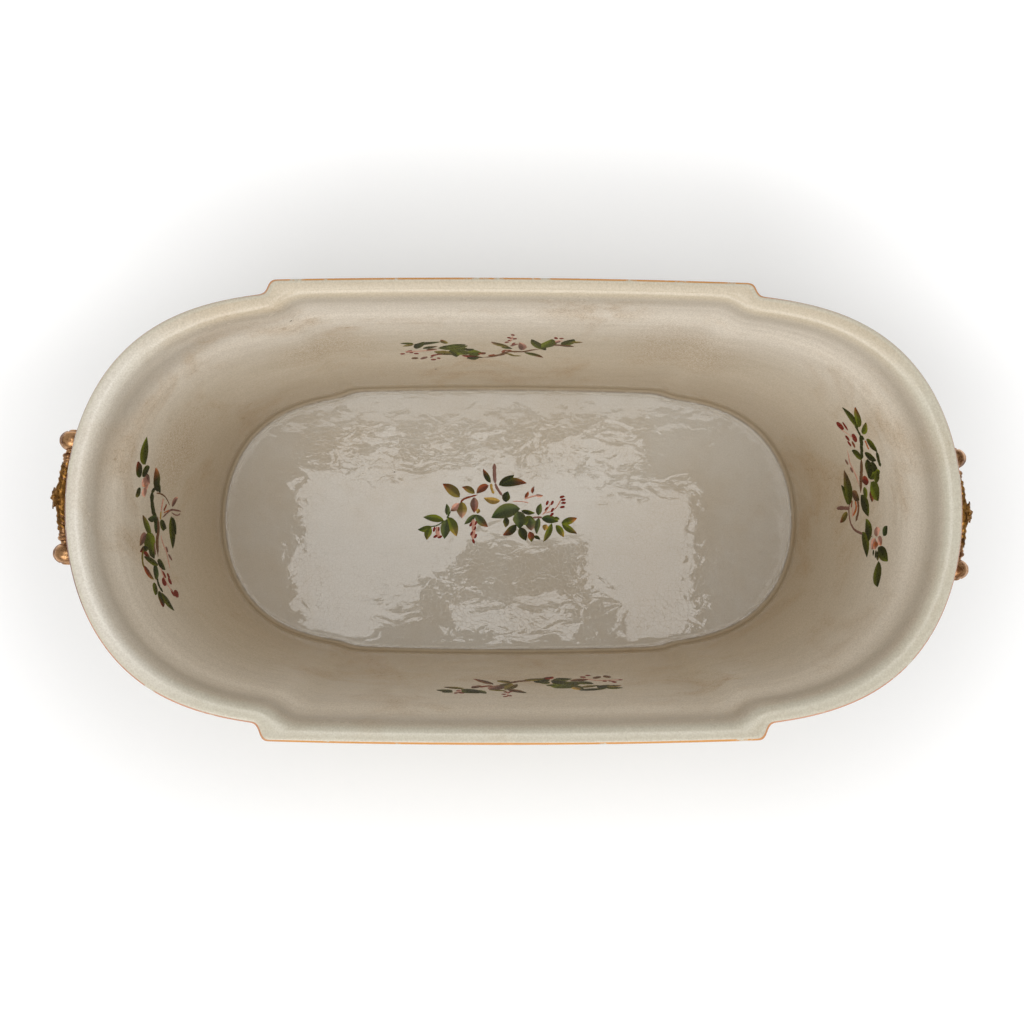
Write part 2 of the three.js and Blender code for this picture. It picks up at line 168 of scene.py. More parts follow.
def leaning(z, inset):
    """A level of the leaning wall: its height, its lean and how far in from the rim's edge it is."""
    return (z, lean_at(z), inset)


def plumb(down, inset):
    """A level of the plumb collar, by how far it is below the lip's top."""
    return (HEIGHT - down, 0.0, inset)


def smooth_through(points, steps):
    """More points on an even curve through the given ones."""
    p = np.array([points[0], *points, points[-1]], float)
    out = []
    for i in range(1, len(p) - 2):
        for t in np.arange(steps) / steps:
            a = 2 * p[i] + (p[i + 1] - p[i - 1]) * t
            b = (2 * p[i - 1] - 5 * p[i] + 4 * p[i + 1] - p[i + 2]) * t * t
            c = (3 * p[i] - p[i - 1] - 3 * p[i + 1] + p[i + 2]) * t**3
            out.append((a + b + c) / 2)
    return [*map(tuple, out), tuple(p[-1])]


def rounded(middle_down, middle_inset, radius, start, stop, steps):
    """A quarter round on the lip, by its middle and its angles from straight out."""
    turns = np.radians(np.linspace(start, stop, steps))
    return [plumb(middle_down - radius * math.sin(t), middle_inset - radius * math.cos(t)) for t in turns]


# The pot's section, level by level: under the foot, up the outside, over the lip and down to the floor
LIP_STEPS = 12
FILLET = 2.2
foot = [
    leaning(9, 12.9), leaning(8.9, 12.5), leaning(8.4, 12.3), leaning(4, 11.3), leaning(0.5, 11.0),
    leaning(0.12, 10.85), leaning(0, 10.5), leaning(0, 3), leaning(0, -4.2), leaning(0.12, -4.8),
    leaning(0.5, -5.4), leaning(1.0, -5.8), leaning(1.6, -6.0), leaning(5, -6.0), leaning(8.6, -6.0),
    leaning(9.6, -5.85), leaning(11, -5.1), leaning(12.4, -3.8), leaning(13.2, -2.6), leaning(13.7, -0.6),
    leaning(14.3, 1.2), leaning(15.2, 2.6), leaning(16.2, 2.9), leaning(17.6, 2.3), leaning(19.5, 1.6),
]
outer_wall = [leaning(z, wall_inset(z) + 0.6 * math.exp(-(z - 23) / 3)) for z in np.linspace(22, 194, 30)]
BEAD = 3.6
bead = [
    plumb(31.4 + BEAD * math.cos(t), 5.0 - BEAD * math.sin(t)) for t in np.radians(np.linspace(24, 156, 10))
]
collar = smooth_through(
    [leaning(194, 2.5), (197.4, 0.17, 2.9), (199.8, 0.08, 4.2), (201.4, 0.0, 4.7)], 4
) + bead + smooth_through([
    plumb(27.9, 4.3), plumb(26.5, 5.0), plumb(19.2, 4.9), plumb(10.5, 3.7), plumb(6.4, 1.9), plumb(4.9, 0.5),
], 4)
lip = rounded(2.6, 2.5, 2.5, -35, 90, LIP_STEPS) + [plumb(0, 3.6), plumb(0.02, 5.0)]
inner_collar = smooth_through(
    [
        plumb(0.05, 5.6), leaning(235.75, 7.2), leaning(235.1, 8.6), leaning(234, 9.8), leaning(232, 10.8),
        leaning(229, 11.3), leaning(224, 11.2), leaning(215, 10.5), leaning(207, 10.2), leaning(200.5, 10.6),
        leaning(194, 11.6), leaning(186, 12.1),
    ],
    4,
)
inner_wall = [leaning(z, WALL + wall_inset(z) + 0.1) for z in np.linspace(183, 23.6, 34)]
fillet = [
    leaning(20.7 + FILLET * (1 - math.cos(t)), WALL + FILLET * (1 - math.sin(t)) + 0.05)
    for t in np.radians([82, 68, 54, 40, 26, 12])
]
floor_edge = [
    leaning(20.7, 11.7), leaning(20.7, 12.2), leaning(20.76, 12.8), leaning(20.88, 13.4),
    leaning(20.97, 14.0), leaning(21.0, 14.7), leaning(21.0, 17.0), leaning(21.0, 22.0),
]
levels = foot + outer_wall + collar + lip + inner_collar + inner_wall + fillet + floor_edge
lip_from = len(foot + outer_wall + collar)
inner_from = lip_from + LIP_STEPS
DRAW_IN = [0.2, 0.45, 0.7, 0.9, 0.97]


def closed_skin(rings):
    """Vertices and faces of a skin through like rings, with the first and the last drawn in to a point."""
    count = len(rings[0])
    first, last = [np.mean(ring, axis=0, keepdims=True) for ring in (rings[0], rings[-1])]
    stack = [first + (rings[0] - first) * share for share in DRAW_IN] + list(rings)
    stack += [last + (rings[-1] - last) * share for share in DRAW_IN[::-1]]
    ahead = [(i + 1) % count for i in range(count)]
    faces = [(0, 1 + ahead[i], 1 + i) for i in range(count)]
    for k in range(len(stack) - 1):
        a = 1 + k * count
        b = a + count
        faces += [(a + i, a + ahead[i], b + ahead[i], b + i) for i in range(count)]
    a = 1 + (len(stack) - 1) * count
    faces += [(a + i, a + ahead[i], a + count) for i in range(count)]
    return np.concatenate([first, *stack, last]), faces


def new_piece(name, verts, faces, sharp=None):
    """A mesh object from vertices in mm, smooth all over but for edges sharper than the angle given."""
    mesh = bpy.data.meshes.new(name)
    mesh.from_pydata((np.asarray(verts) * MM).tolist(), [], faces)
    mesh.validate()
    mesh.shade_smooth()
    if sharp is not None:
        mesh.set_sharp_from_angle(angle=math.radians(sharp))
    piece = bpy.data.objects.new(name, mesh)
    bpy.context.scene.collection.objects.link(piece)
    return piece


def add_values(piece, name, values):
    """A value for each point of the mesh, which a material can read by its name."""
    layer = piece.data.attributes.new(name, "FLOAT", "POINT")
    layer.data.foreach_set("value", np.asarray(values, np.float32))


SOFT_LEVELS = 12
softness = np.clip((np.arange(len(levels)) - inner_from) / SOFT_LEVELS, 0, 1)
rings = []
for (z, lean, inset), soft in zip(levels, softness):
    flat = pot_plan(lean, inset, soft)
    rings.append(np.column_stack([flat, np.full(len(flat), z)]))
pot = new_piece("porcelain_pot", *closed_skin(rings))

# Where each point is, for the glaze: inside or not, and its way in mm over the surface to the rim's
# outer edge and past the foot of the inner wall
EDGE_LEVEL = 5
EDGE_REACH = 10.0
WALL_REACH = 30.0
profile = np.array([[RIM_END - END_LEAN * lean - inset, z] for z, lean, inset in levels])
run = np.concatenate([[0], np.cumsum(np.hypot(*np.diff(profile, axis=0).T))])
to_edge = np.abs(run - run[lip_from + EDGE_LEVEL])
near_edge = np.clip(EDGE_REACH - to_edge, 0, EDGE_REACH)
inner = (np.arange(len(levels)) >= inner_from).astype(float)
past_wall = np.clip(run - run[-len(floor_edge)], -WALL_REACH, WALL_REACH) * inner + WALL_REACH * (inner - 1)
for name, values, first, last in (
    ("near_edge", near_edge, 0, 0), ("past_wall", past_wall, -WALL_REACH, WALL_REACH), ("inner", inner, 0, 1),
):
    filled = np.concatenate([[first] * len(DRAW_IN), values, [last] * len(DRAW_IN)])
    add_values(pot, name, np.concatenate([[first], np.repeat(filled, len(rings[0])), [last]]))


# Lugs and sockets, with the same places as the handles' feet
HANDLE_SHIFT = {"right": -0.4, "left": 9.2}
HANDLE_TURN = {"right": math.radians(0.6), "left": math.radians(-2.5)}
FEET_SPACING = 75.4
EYE_X = 297.2
EYE_Z = 189.0
FOOT_Z = 168.0
LUG_RADIUS = 12.0
LUG_SIDES = 48
SOCKET_SIDES = 32
LUG_EDGE = FEET_SPACING / 2 - LUG_RADIUS + SET_BACK * (1 - lean_at(FOOT_Z))
LUG_FACE = end_x(LUG_EDGE, FOOT_Z, wall_inset(FOOT_Z)) + 2.6
FOOT_FACE = LUG_FACE + 0.3
FOOT_FRONT = FOOT_FACE + 4.6
OVAL = 1.35


def turned(profile, sides):
    """A closed turned solid lying along +X, from [radius, x] pairs."""
    turn = 2 * np.pi * np.arange(sides) / sides
    rings = [np.column_stack([np.full(sides, x), r * np.cos(turn), r * np.sin(turn)]) for r, x in profile]
    return closed_skin(rings)


def at_handle(verts, side, y=0.0, z=0.0):
    """Moves a piece drawn at the right end to its place on either end of the pot."""
    out = np.array(verts, float) + [-EYE_X, y, z]
    cosine, sine = math.cos(HANDLE_TURN[side]), math.sin(HANDLE_TURN[side])
    out = out @ np.array([[cosine, sine, 0], [-sine, cosine, 0], [0, 0, 1]]) + [EYE_X, 0, 0]
    if side == "left":
        out = out * [-1, -1, 1]
    return out + [0, HANDLE_SHIFT[side], 0]


def joined(parts):
    """One vertex and face list out of several."""
    verts, faces, base = [], [], 0
    for v, f in parts:
        verts.append(v)
        faces += [tuple(i + base for i in face) for face in f]
        base += len(v)
    return np.concatenate(verts), faces


def lug(side, end):
    """An oval pad that grows out of the leaning wall and ends in a plumb face."""
    turn = 2 * np.pi * np.arange(LUG_SIDES) / LUG_SIDES
    sign = 1 if side == "right" else -1
    rings = []
    for radius, share, sunk in (
        (11.5, 0, 4.0), (15.4, 0, 0.7), (14.3, 0.12, 0), (13.3, 0.3, 0), (12.6, 0.52, 0), (12.2, 0.72, 0),
        (12.05, 0.86, 0), (11.8, 0.94, 0), (11.3, 0.985, 0), (10.5, 1.0, 0),
    ):
        oval = [np.full(LUG_SIDES, LUG_FACE), radius * np.cos(turn), OVAL * radius * np.sin(turn)]
        face = at_handle(np.column_stack(oval), side, end * FEET_SPACING / 2, FOOT_Z)
        wall_at = np.array([sign * (end_x(y, z, wall_inset(z)) - sunk) for x, y, z in face])
        rings.append(np.column_stack([wall_at + (face[:, 0] - wall_at) * share, face[:, 1], face[:, 2]]))
    return closed_skin(rings)


socket_profile = [(5.99, LUG_FACE - 8), (6, LUG_FACE - 7.9), (6, LUG_FACE + 1), (5.99, LUG_FACE + 1.1)]
lugs = joined([lug(side, end) for side in HANDLE_SHIFT for end in (-1, 1)])
plug, plug_faces = turned(socket_profile, SOCKET_SIDES)
sockets = joined([
    (at_handle(plug, side, end * FEET_SPACING / 2, FOOT_Z), plug_faces)
    for side in HANDLE_SHIFT for end in (-1, 1)
])


def cut_or_add(piece, tool, operation):
    """Joins a tool solid to a piece, or cuts it out, and drops the tool."""
    modifier = piece.modifiers.new("joint", "BOOLEAN")
    modifier.operation = operation
    modifier.solver = "EXACT"
    modifier.object = tool
    result = bpy.data.meshes.new_from_object(piece.evaluated_get(bpy.context.evaluated_depsgraph_get()))
    piece.modifiers.clear()
    piece.data = result
    bpy.data.objects.remove(tool)


cut_or_add(pot, new_piece("lugs", *lugs), "UNION")
cut_or_add(pot, new_piece("sockets", *sockets), "DIFFERENCE")
pot.data.shade_smooth()
pot.data.set_sharp_from_angle(angle=math.radians(50))


def tint(red, green, blue):
    """A colour as seen, 0 to 255, in the linear values that shaders take."""
    values = []
    for c in (red, green, blue):
        c = c / 255
        values.append(c / 12.92 if c <= 0.04045 else ((c + 0.055) / 1.055) ** 2.4)
    return (*values, 1.0)


def node(tree, kind, inputs=None, **settings):
    """Adds a node; inputs are constants or sockets to link from, by name or number."""
    made = tree.nodes.new(kind)
    for key, value in settings.items():
        setattr(made, key, value)
    for key, value in (inputs or {}).items():
        socket = made.inputs[key]
        if isinstance(value, bpy.types.NodeSocket):
            tree.links.new(value, socket)
        else:
            socket.default_value = value
    return made


def math_node(tree, operation, a, b=0.0, clamp=False):
    return node(tree, "ShaderNodeMath", {0: a, 1: b}, operation=operation, use_clamp=clamp).outputs[0]


def times(tree, first, *others):
    """The product of two values or more."""
    for other in others:
        first = math_node(tree, "MULTIPLY", first, other)
    return first


def plus(tree, a, b):
    return math_node(tree, "ADD", a, b)


def minus(tree, a, b):
    return math_node(tree, "SUBTRACT", a, b)


def blend_colours(tree, share, a, b):
    """From one colour to the other as the share goes from 0 to 1."""
    mixer = tree.nodes.new("ShaderNodeMix")
    mixer.data_type = "RGBA"
    for index, value in ((0, share), (6, a), (7, b)):
        if isinstance(value, bpy.types.NodeSocket):
            tree.links.new(value, mixer.inputs[index])
        else:
            mixer.inputs[index].default_value = value
    return mixer.outputs[2]


def laid_over(tree, base, colour, *shares):
    """A colour laid over another as far as the product of the shares says."""
    return blend_colours(tree, times(tree, *shares), base, colour)


def ramp(tree, value, low, high, bottom=0.0, top=1.0):
    """Smoothly from bottom to top as a value goes from low to high."""
    return node(
        tree, "ShaderNodeMapRange",
        {"Value": value, "From Min": low, "From Max": high, "To Min": bottom, "To Max": top},
        interpolation_type="SMOOTHSTEP",
    ).outputs["Result"]


def noise(tree, at, scale, detail=2.0, roughness=0.5, distortion=0.0):
    return node(
        tree, "ShaderNodeTexNoise",
        {"Vector": at, "Scale": scale, "Detail": detail, "Roughness": roughness, "Distortion": distortion},
    ).outputs["Fac"]


def stretched(tree, at, scale):
    """The coordinates with each axis scaled on its own."""
    return node(tree, "ShaderNodeMapping", {"Vector": at, "Scale": scale}).outputs["Vector"]


def distance_from(tree, at, place):
    """How far each point is from a place, in metres."""
    return node(tree, "ShaderNodeVectorMath", {0: at, 1: place}, operation="DISTANCE").outputs["Value"]


def carried(tree, name):
    """A value that the mesh carries at each of its points."""
    return node(tree, "ShaderNodeAttribute", attribute_name=name).outputs["Fac"]


def raise_surface(tree, shader, height, strength=1.0):
    """Height in metres, as a bump."""
    bump = node(tree, "ShaderNodeBump", {"Height": height, "Strength": strength, "Distance": 1.0})
    tree.links.new(bump.outputs[0], shader.inputs["Normal"])


def new_material(name):
    """An empty node material: its tree, its surface shader and the object's own coordinates."""
    material = bpy.data.materials.new(name)
    material.use_nodes = True
    tree = material.node_tree
    tree.nodes.clear()
    output = tree.nodes.new("ShaderNodeOutputMaterial")
    shader = tree.nodes.new("ShaderNodeBsdfPrincipled")
    tree.links.new(shader.outputs[0], output.inputs[0])
    at = tree.nodes.new("ShaderNodeTexCoord").outputs["Object"]
    return material, tree, shader, at


def new_group(name, inputs, outputs):
    """An empty shader group with its named sockets: its tree, its inputs and its outputs."""
    tree = bpy.data.node_groups.new(name, "ShaderNodeTree")
    for label, kind, start in inputs:
        socket = tree.interface.new_socket(label, in_out="INPUT", socket_type=kind)
        if start is not None:
            socket.default_value = start
    for label, kind in outputs:
        tree.interface.new_socket(label, in_out="OUTPUT", socket_type=kind)
    return tree, tree.nodes.new("NodeGroupInput"), tree.nodes.new("NodeGroupOutput")


def place_group(tree, group, inputs):
    """Places a group in a material's tree with its own values."""
    return node(tree, "ShaderNodeGroup", inputs, node_tree=group)


# Crackle: a net of hairlines in the glaze, of cells a few millimetres wide, darker where stained
crackle, given, made = new_group(
    "crackle",
    [
        ("Place", "NodeSocketVector", None), ("Cell", "NodeSocketFloat", 0.003),
        ("Line", "NodeSocketFloat", 0.04),
    ],
    [("Mask", "NodeSocketFloat")],
)
LINE_WANDER = 0.0022
unbent = given.outputs["Place"]
wander = node(crackle, "ShaderNodeTexNoise", {"Vector": unbent, "Scale": 160.0, "Detail": 2.0})
shift = node(
    crackle, "ShaderNodeVectorMath", {0: wander.outputs["Color"], 1: (LINE_WANDER,) * 3}, operation="MULTIPLY"
)
moved = node(crackle, "ShaderNodeVectorMath", {0: unbent, 1: shift.outputs[0]}, operation="ADD")
cells = node(
    crackle, "ShaderNodeTexVoronoi",
    {"Vector": moved.outputs[0], "Scale": math_node(crackle, "DIVIDE", 1.0, given.outputs["Cell"])},
    feature="DISTANCE_TO_EDGE",
)
line = node(
    crackle, "ShaderNodeMapRange",
    {
        "Value": cells.outputs["Distance"], "From Min": 0.0, "From Max": given.outputs["Line"],
        "To Min": 1.0, "To Max": 0.0,
    },
)
crackle.links.new(line.outputs["Result"], made.inputs["Mask"])

CRACKLE_CELL = 0.0034
CRACKLE_LINE = 0.045

# The glaze: cream with a green cast at the rim, warmer and ochre-stained down the walls
glaze, tree, shader, at = new_material("cream_crackle_glaze")
split = node(tree, "ShaderNodeSeparateXYZ", {0: at})
along, across, up = split.outputs[0], split.outputs[1], split.outputs[2]
is_inner = carried(tree, "inner")
is_outer = minus(tree, 1.0, is_inner)
past_wall = carried(tree, "past_wall")
floor_share = ramp(tree, past_wall, -0.6, 0.8)
to_back = ramp(tree, across, 0.06, 0.13)

cream = blend_colours(tree, ramp(tree, up, 0.120, 0.200), tint(216, 204, 184), tint(231, 221, 205))
cream = laid_over(tree, cream, tint(208, 198, 182), ramp(tree, up, 0.206, 0.222))
lip_cream = blend_colours(tree, to_back, tint(202, 196, 178), tint(206, 192, 168))
cream = laid_over(tree, cream, lip_cream, ramp(tree, up, 0.229, 0.235))
# Painted light: the rim and collar at the left end are painted lighter, as the lamps leave that end dimmer.
left_rim_painted_light = times(tree, ramp(tree, along, -0.18, -0.27), ramp(tree, up, 0.215, 0.228))
cream = laid_over(tree, cream, tint(224, 217, 204), left_rim_painted_light, 0.85)
cream = laid_over(tree, cream, tint(201, 184, 158), ramp(tree, up, 0.024, 0.160, 1.0, 0.0))
# Painted light: the upper inner wall at the back is painted lighter, where the key light falls on it.
back_painted_light = times(tree, to_back, ramp(tree, up, 0.140, 0.205), ramp(tree, up, 0.231, 0.214))
cream = laid_over(tree, cream, tint(244, 235, 221), back_painted_light, is_inner)
# Painted shade: the band round the collar's ridge is painted greyer towards the left end and the back.
ridge_painted_shade = times(tree, ramp(tree, up, 0.188, 0.202), ramp(tree, up, 0.222, 0.210))
left_back_shade_reach = times(tree, ramp(tree, along, -0.13, -0.23, 0.0, 0.55), ramp(tree, across, 0.03, 0.075))
cream = laid_over(tree, cream, tint(170, 160, 146), ridge_painted_shade, left_back_shade_reach)
floor_clouds = ramp(tree, noise(tree, at, 11.0, 4.0, 0.6), 0.40, 0.66, 0.0, 0.6)
floor_cream = blend_colours(tree, floor_clouds, tint(195, 188, 175), tint(186, 173, 152))
cream = laid_over(tree, cream, floor_cream, floor_share)
cream = laid_over(tree, cream, tint(208, 201, 182), is_outer, 0.8)

# Stains: ochre clouds down the walls, a few darker hazes low down and one patch at the back rim
ochre_stain = tint(184, 150, 104)
cloud = noise(tree, at, 14.0, 4.0, 0.62, 0.6)
stain = times(tree, ramp(tree, cloud, 0.50, 0.74), ramp(tree, up, 0.235, 0.190, 0.25, 0.75))
stain = times(tree, stain, plus(tree, times(tree, is_inner, 0.7), 0.3))
stain = times(tree, stain, minus(tree, 1.0, times(tree, floor_share, 0.85)))
cream = laid_over(tree, cream, ochre_stain, stain, 0.55)
grain = noise(tree, at, 900.0, 2.0, 0.6)
uneven = times(tree, minus(tree, cloud, 0.5), 0.09)
for place, reach in (
    ((-0.135, 0.122, 0.139), 0.045), ((0.120, 0.122, 0.135), 0.060), ((-0.243, 0.052, 0.124), 0.045),
):
    away = plus(tree, distance_from(tree, at, place), uneven)
    haze = times(tree, ramp(tree, away, reach, 0.006), ramp(tree, grain, 0.35, 0.62), is_inner)
    cream = laid_over(tree, cream, tint(176, 136, 84), haze, 0.34)
patch = ramp(tree, distance_from(tree, at, (0.052, 0.135, 0.226)), 0.060, 0.015)
patch = times(tree, patch, ramp(tree, noise(tree, at, 34.0, 5.0, 0.7), 0.40, 0.66))
patch = times(tree, patch, ramp(tree, up, 0.231, 0.222), is_inner)
cream = laid_over(tree, cream, tint(190, 156, 108), patch, 0.38)
streak = noise(tree, stretched(tree, at, (5.0, 5.0, 190.0)), 1.0, 3.0, 0.6)
cream = laid_over(tree, cream, tint(176, 160, 132), ramp(tree, streak, 0.35, 0.70), is_inner, 0.10)

net = place_group(tree, crackle, {"Place": at, "Cell": CRACKLE_CELL, "Line": CRACKLE_LINE}).outputs["Mask"]
net_dark = plus(tree, times(tree, plus(tree, stain, patch), 0.55), 0.10)
net_share = math_node(tree, "MULTIPLY", net, net_dark, clamp=True)
cream = laid_over(tree, cream, tint(140, 104, 62), net_share)
grain_share = ramp(tree, grain, 0.36, 0.64, 0.0, 0.20)
grain_share = times(tree, grain_share, minus(tree, 1.0, times(tree, floor_share, 0.35)))
cream = laid_over(tree, cream, tint(140, 126, 100), grain_share)

# Round the floor: painted shade on the fillet and in the crease, and a broken line of painted highlight on
# the edge's swell
ragged = noise(tree, at, 90.0, 4.0, 0.65)
crease = times(tree, ramp(tree, past_wall, -1.6, -0.2), ramp(tree, past_wall, 1.1, 0.0))
cream = laid_over(tree, cream, tint(108, 94, 74), crease, ramp(tree, ragged, 0.35, 0.60, 0.35, 0.75))
at_fillet = times(tree, ramp(tree, past_wall, -12.0, -2.0), ramp(tree, past_wall, 0.6, -0.6))
cream = laid_over(tree, cream, tint(146, 128, 100), at_fillet, 0.5)
shine = times(tree, ramp(tree, past_wall, 0.8, 1.6), ramp(tree, past_wall, 2.6, 1.8))
cream = laid_over(tree, cream, tint(222, 216, 204), shine, ramp(tree, ragged, 0.38, 0.58, 0.0, 0.6))

pits = node(tree, "ShaderNodeTexVoronoi", {"Vector": at, "Scale": 34.0, "Randomness": 1.0}, feature="F1")
pit_pick = node(tree, "ShaderNodeSeparateColor", {0: pits.outputs["Color"]})
pit_size = ramp(tree, pit_pick.outputs[0], 0.55, 1.0, 0.004, 0.034)
pit = math_node(tree, "LESS_THAN", pits.outputs["Distance"], pit_size)
cream = laid_over(tree, cream, tint(92, 78, 58), pit, 0.75)

# The line on the rim's outer edge, gold at the panels and pinker round the ends, worn off in places
worn = noise(tree, at, 70.0, 4.0, 0.65)
worn_wide = noise(tree, at, 9.0, 2.0)
from_middle = math_node(tree, "ABSOLUTE", along)
at_panel = ramp(tree, from_middle, 0.175, 0.140)
line_half = plus(tree, plus(tree, times(tree, at_panel, 0.55), times(tree, worn_wide, 1.2)), 0.85)
off_line = minus(tree, EDGE_REACH, carried(tree, "near_edge"))
on_line = node(tree, "ShaderNodeMapRange", {
    "Value": off_line, "From Min": plus(tree, line_half, 0.25), "From Max": minus(tree, line_half, 0.15),
}).outputs["Result"]
at_corner = times(tree, ramp(tree, from_middle, 0.150, 0.185), ramp(tree, across, 0.02, 0.07))
on_line = times(tree, on_line, ramp(tree, worn, 0.34, 0.44), minus(tree, 1.0, times(tree, at_corner, 0.75)))
copper_line = blend_colours(tree, ramp(tree, worn_wide, 0.35, 0.65), tint(186, 124, 92), tint(204, 152, 122))
copper_line = laid_over(tree, copper_line, tint(206, 142, 66), at_panel)
# Painted shade: the line is darkened at the left end, where the handle's grip shades the rim.
handle_painted_shade = times(tree, ramp(tree, along, -0.262, -0.270), ramp(tree, from_middle, 0.268, 0.276))
copper_line = laid_over(tree, copper_line, tint(86, 46, 46), handle_painted_shade, 0.7)
cream = laid_over(tree, cream, copper_line, on_line)
foot_line = times(tree, ramp(tree, up, 0.0104, 0.0108), ramp(tree, up, 0.0128, 0.0124), is_outer)
cream = laid_over(tree, cream, tint(190, 128, 76), foot_line, ramp(tree, worn, 0.30, 0.42))

# Bare clay under the foot
bare_edge = plus(tree, up, times(tree, minus(tree, cloud, 0.5), 0.004))
bare = ramp(tree, bare_edge, 0.0026, 0.0019)
clay = blend_colours(tree, noise(tree, at, 260.0, 4.0, 0.7), tint(176, 156, 128), tint(214, 200, 176))
cream = laid_over(tree, cream, clay, bare)
tree.links.new(cream, shader.inputs["Base Color"])

# Glossy on the floor, duller up the walls and towards the rim
gloss = ramp(tree, noise(tree, at, 45.0, 3.0), 0.3, 0.75, 0.0, 0.03)
gloss = plus(tree, gloss, times(tree, minus(tree, 1.0, floor_share), 0.15))
gloss = plus(tree, gloss, ramp(tree, up, 0.200, 0.228, 0.0, 0.10))
gloss = plus(tree, gloss, times(tree, at_fillet, 0.4))
gloss = math_node(tree, "MAXIMUM", gloss, times(tree, bare, 0.75))
tree.links.new(gloss, shader.inputs["Roughness"])
shader.inputs["IOR"].default_value = 1.6

# The glaze's own waves, calmer on the floor, with crackle lines and pits sunk in it, in metres
WAVE = 0.0008
FLOOR_CALM = 0.00042
RIPPLE = 0.00020
LINE_DEPTH = 0.000012
PIT_DEPTH = 0.0002
swell = noise(tree, stretched(tree, at, (22.0, 34.0, 30.0)), 1.0, 2.0, 0.45, 0.3)
ripple = noise(tree, stretched(tree, at, (60.0, 95.0, 80.0)), 1.0, 2.0, 0.4, 0.6)
skin = times(tree, swell, minus(tree, WAVE, times(tree, floor_share, FLOOR_CALM)))
skin = plus(tree, skin, times(tree, ripple, RIPPLE))
skin = minus(tree, skin, times(tree, net, LINE_DEPTH))
skin = minus(tree, skin, times(tree, pit, PIT_DEPTH))
raise_surface(tree, shader, skin)

pot.data.materials.clear()
pot.data.materials.append(glaze)
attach(pot, "root")
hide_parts("porcelain_body")


# Painted sprigs
# Flowering sprigs in thick overglaze enamels, brushed on by hand and fired: one on the floor, one on
# each inner wall and one on each outer panel. Every stroke stands a fraction of a millimetre proud.

dark_green = tint(38, 46, 0)
moss_green = tint(68, 74, 0)
grey_green = tint(74, 86, 46)
leaf_green = tint(90, 100, 12)
teal_green = tint(46, 66, 26)
olive = tint(114, 100, 40)
ochre = tint(172, 138, 66)
red_brown = tint(130, 58, 34)
pink = tint(204, 150, 132)
maroon = tint(122, 32, 24)
mauve = tint(130, 92, 82)
brown = tint(106, 72, 48)
orange = tint(180, 98, 52)
MARGIN_GREEN = np.array(tint(120, 108, 28)[:3])

# In each design a leaf is from (x, y) to (x, y), its width, its colour at the stalk and at the tip;
# a twig is a run of points, its width and its colour; a dab is like a leaf, but of one colour.
# The floor's design is in mm.
floor_leaves = [
    (-6.1, 16.3, -12.0, 27.6, 4.0, dark_green, red_brown),
    (-7.6, 14.3, -17.4, 7.5, 5.4, red_brown, brown),
    (-18.9, 7.5, -29.2, 12.9, 4.6, olive, red_brown),
    (-31.1, 4.5, -44.9, 15.3, 7.2, olive, red_brown),
    (-31.6, -0.4, -38.5, -6.8, 5.0, pink, brown),
    (-29.2, 0.6, -29.2, -12.7, 7.6, olive, pink),
    (-19.4, 4.5, -19.4, -8.2, 5.9, mauve, red_brown),
    (1.8, 1.6, -11.5, 4.0, 4.9, ochre, ochre),
    (-15.4, -4.8, -16.9, -8.9, 3.0, ochre, olive),
    (-17.9, -9.7, -27.2, -17.6, 3.9, grey_green, grey_green),
    (-17.9, -9.7, -8.1, -19.5, 5.9, grey_green, red_brown),
    (-41.5, -10.2, -41.7, -0.9, 3.6, grey_green, grey_green),
    (-43.9, -14.6, -60.6, -11.9, 5.4, leaf_green, grey_green),
    (-53.7, -19.5, -65.0, -22.0, 4.4, leaf_green, teal_green),
    (-54.7, -19.5, -57.7, -30.3, 5.4, leaf_green, olive),
    (-41.5, -13.6, -43.4, -29.4, 7.2, grey_green, grey_green),
    (-40.5, -11.7, -33.6, -27.4, 7.2, leaf_green, ochre),
    (0.8, 14.3, 13.1, 22.7, 5.4, dark_green, dark_green),
    (1.3, 14.3, 23.4, 16.1, 6.4, dark_green, red_brown),
    (6.7, 0.6, 8.2, 9.4, 5.9, dark_green, teal_green),
    (18.0, -4.8, -5.1, -12.2, 10.4, grey_green, teal_green),
    (19.0, -6.3, 30.3, -8.2, 3.4, dark_green, leaf_green),
    (33.2, -10.2, 35.2, -0.4, 4.4, grey_green, leaf_green),
    (33.7, -12.2, 31.7, -25.4, 4.4, grey_green, grey_green),
    (16.0, -6.8, 17.5, -21.0, 9.4, grey_green, teal_green),
    (29.3, -12.7, 20.4, -17.6, 7.0, leaf_green, grey_green),
    (26.3, -11.7, 27.3, -22.5, 8.0, grey_green, mauve),
    (15.0, -17.6, 4.2, -26.4, 5.6, dark_green, red_brown),
    (6.2, -11.7, 6.2, -20.0, 4.6, dark_green, olive),
    (18.0, -20.0, 22.9, -30.8, 6.4, dark_green, dark_green),
    (25.8, -23.5, 27.3, -31.8, 4.9, red_brown, leaf_green),
    (29.3, -27.4, 34.7, -29.9, 2.6, dark_green, dark_green),
    (35.7, -12.7, 49.4, -15.1, 5.9, teal_green, leaf_green),
    (44.0, -16.6, 37.1, -31.8, 4.4, leaf_green, olive),
    (39.8, -17.6, 38.4, -22.6, 4.4, ochre, ochre),
    (47.5, -18.1, 53.8, -27.9, 4.9, leaf_green, ochre),
    (51.9, -16.6, 64.6, -12.2, 5.2, leaf_green, orange),
    (52.4, -17.1, 64.6, -24.9, 4.6, leaf_green, brown),
    (45.5, -13.2, 50.4, -13.2, 3.0, leaf_green, leaf_green),
    (21.8, 4.2, 24.8, 9.6, 2.4, red_brown, orange),
    (28.2, 7.6, 29.6, 13.6, 2.3, red_brown, mauve),
    (30.6, 6.4, 37.0, 6.0, 2.2, pink, orange),
]
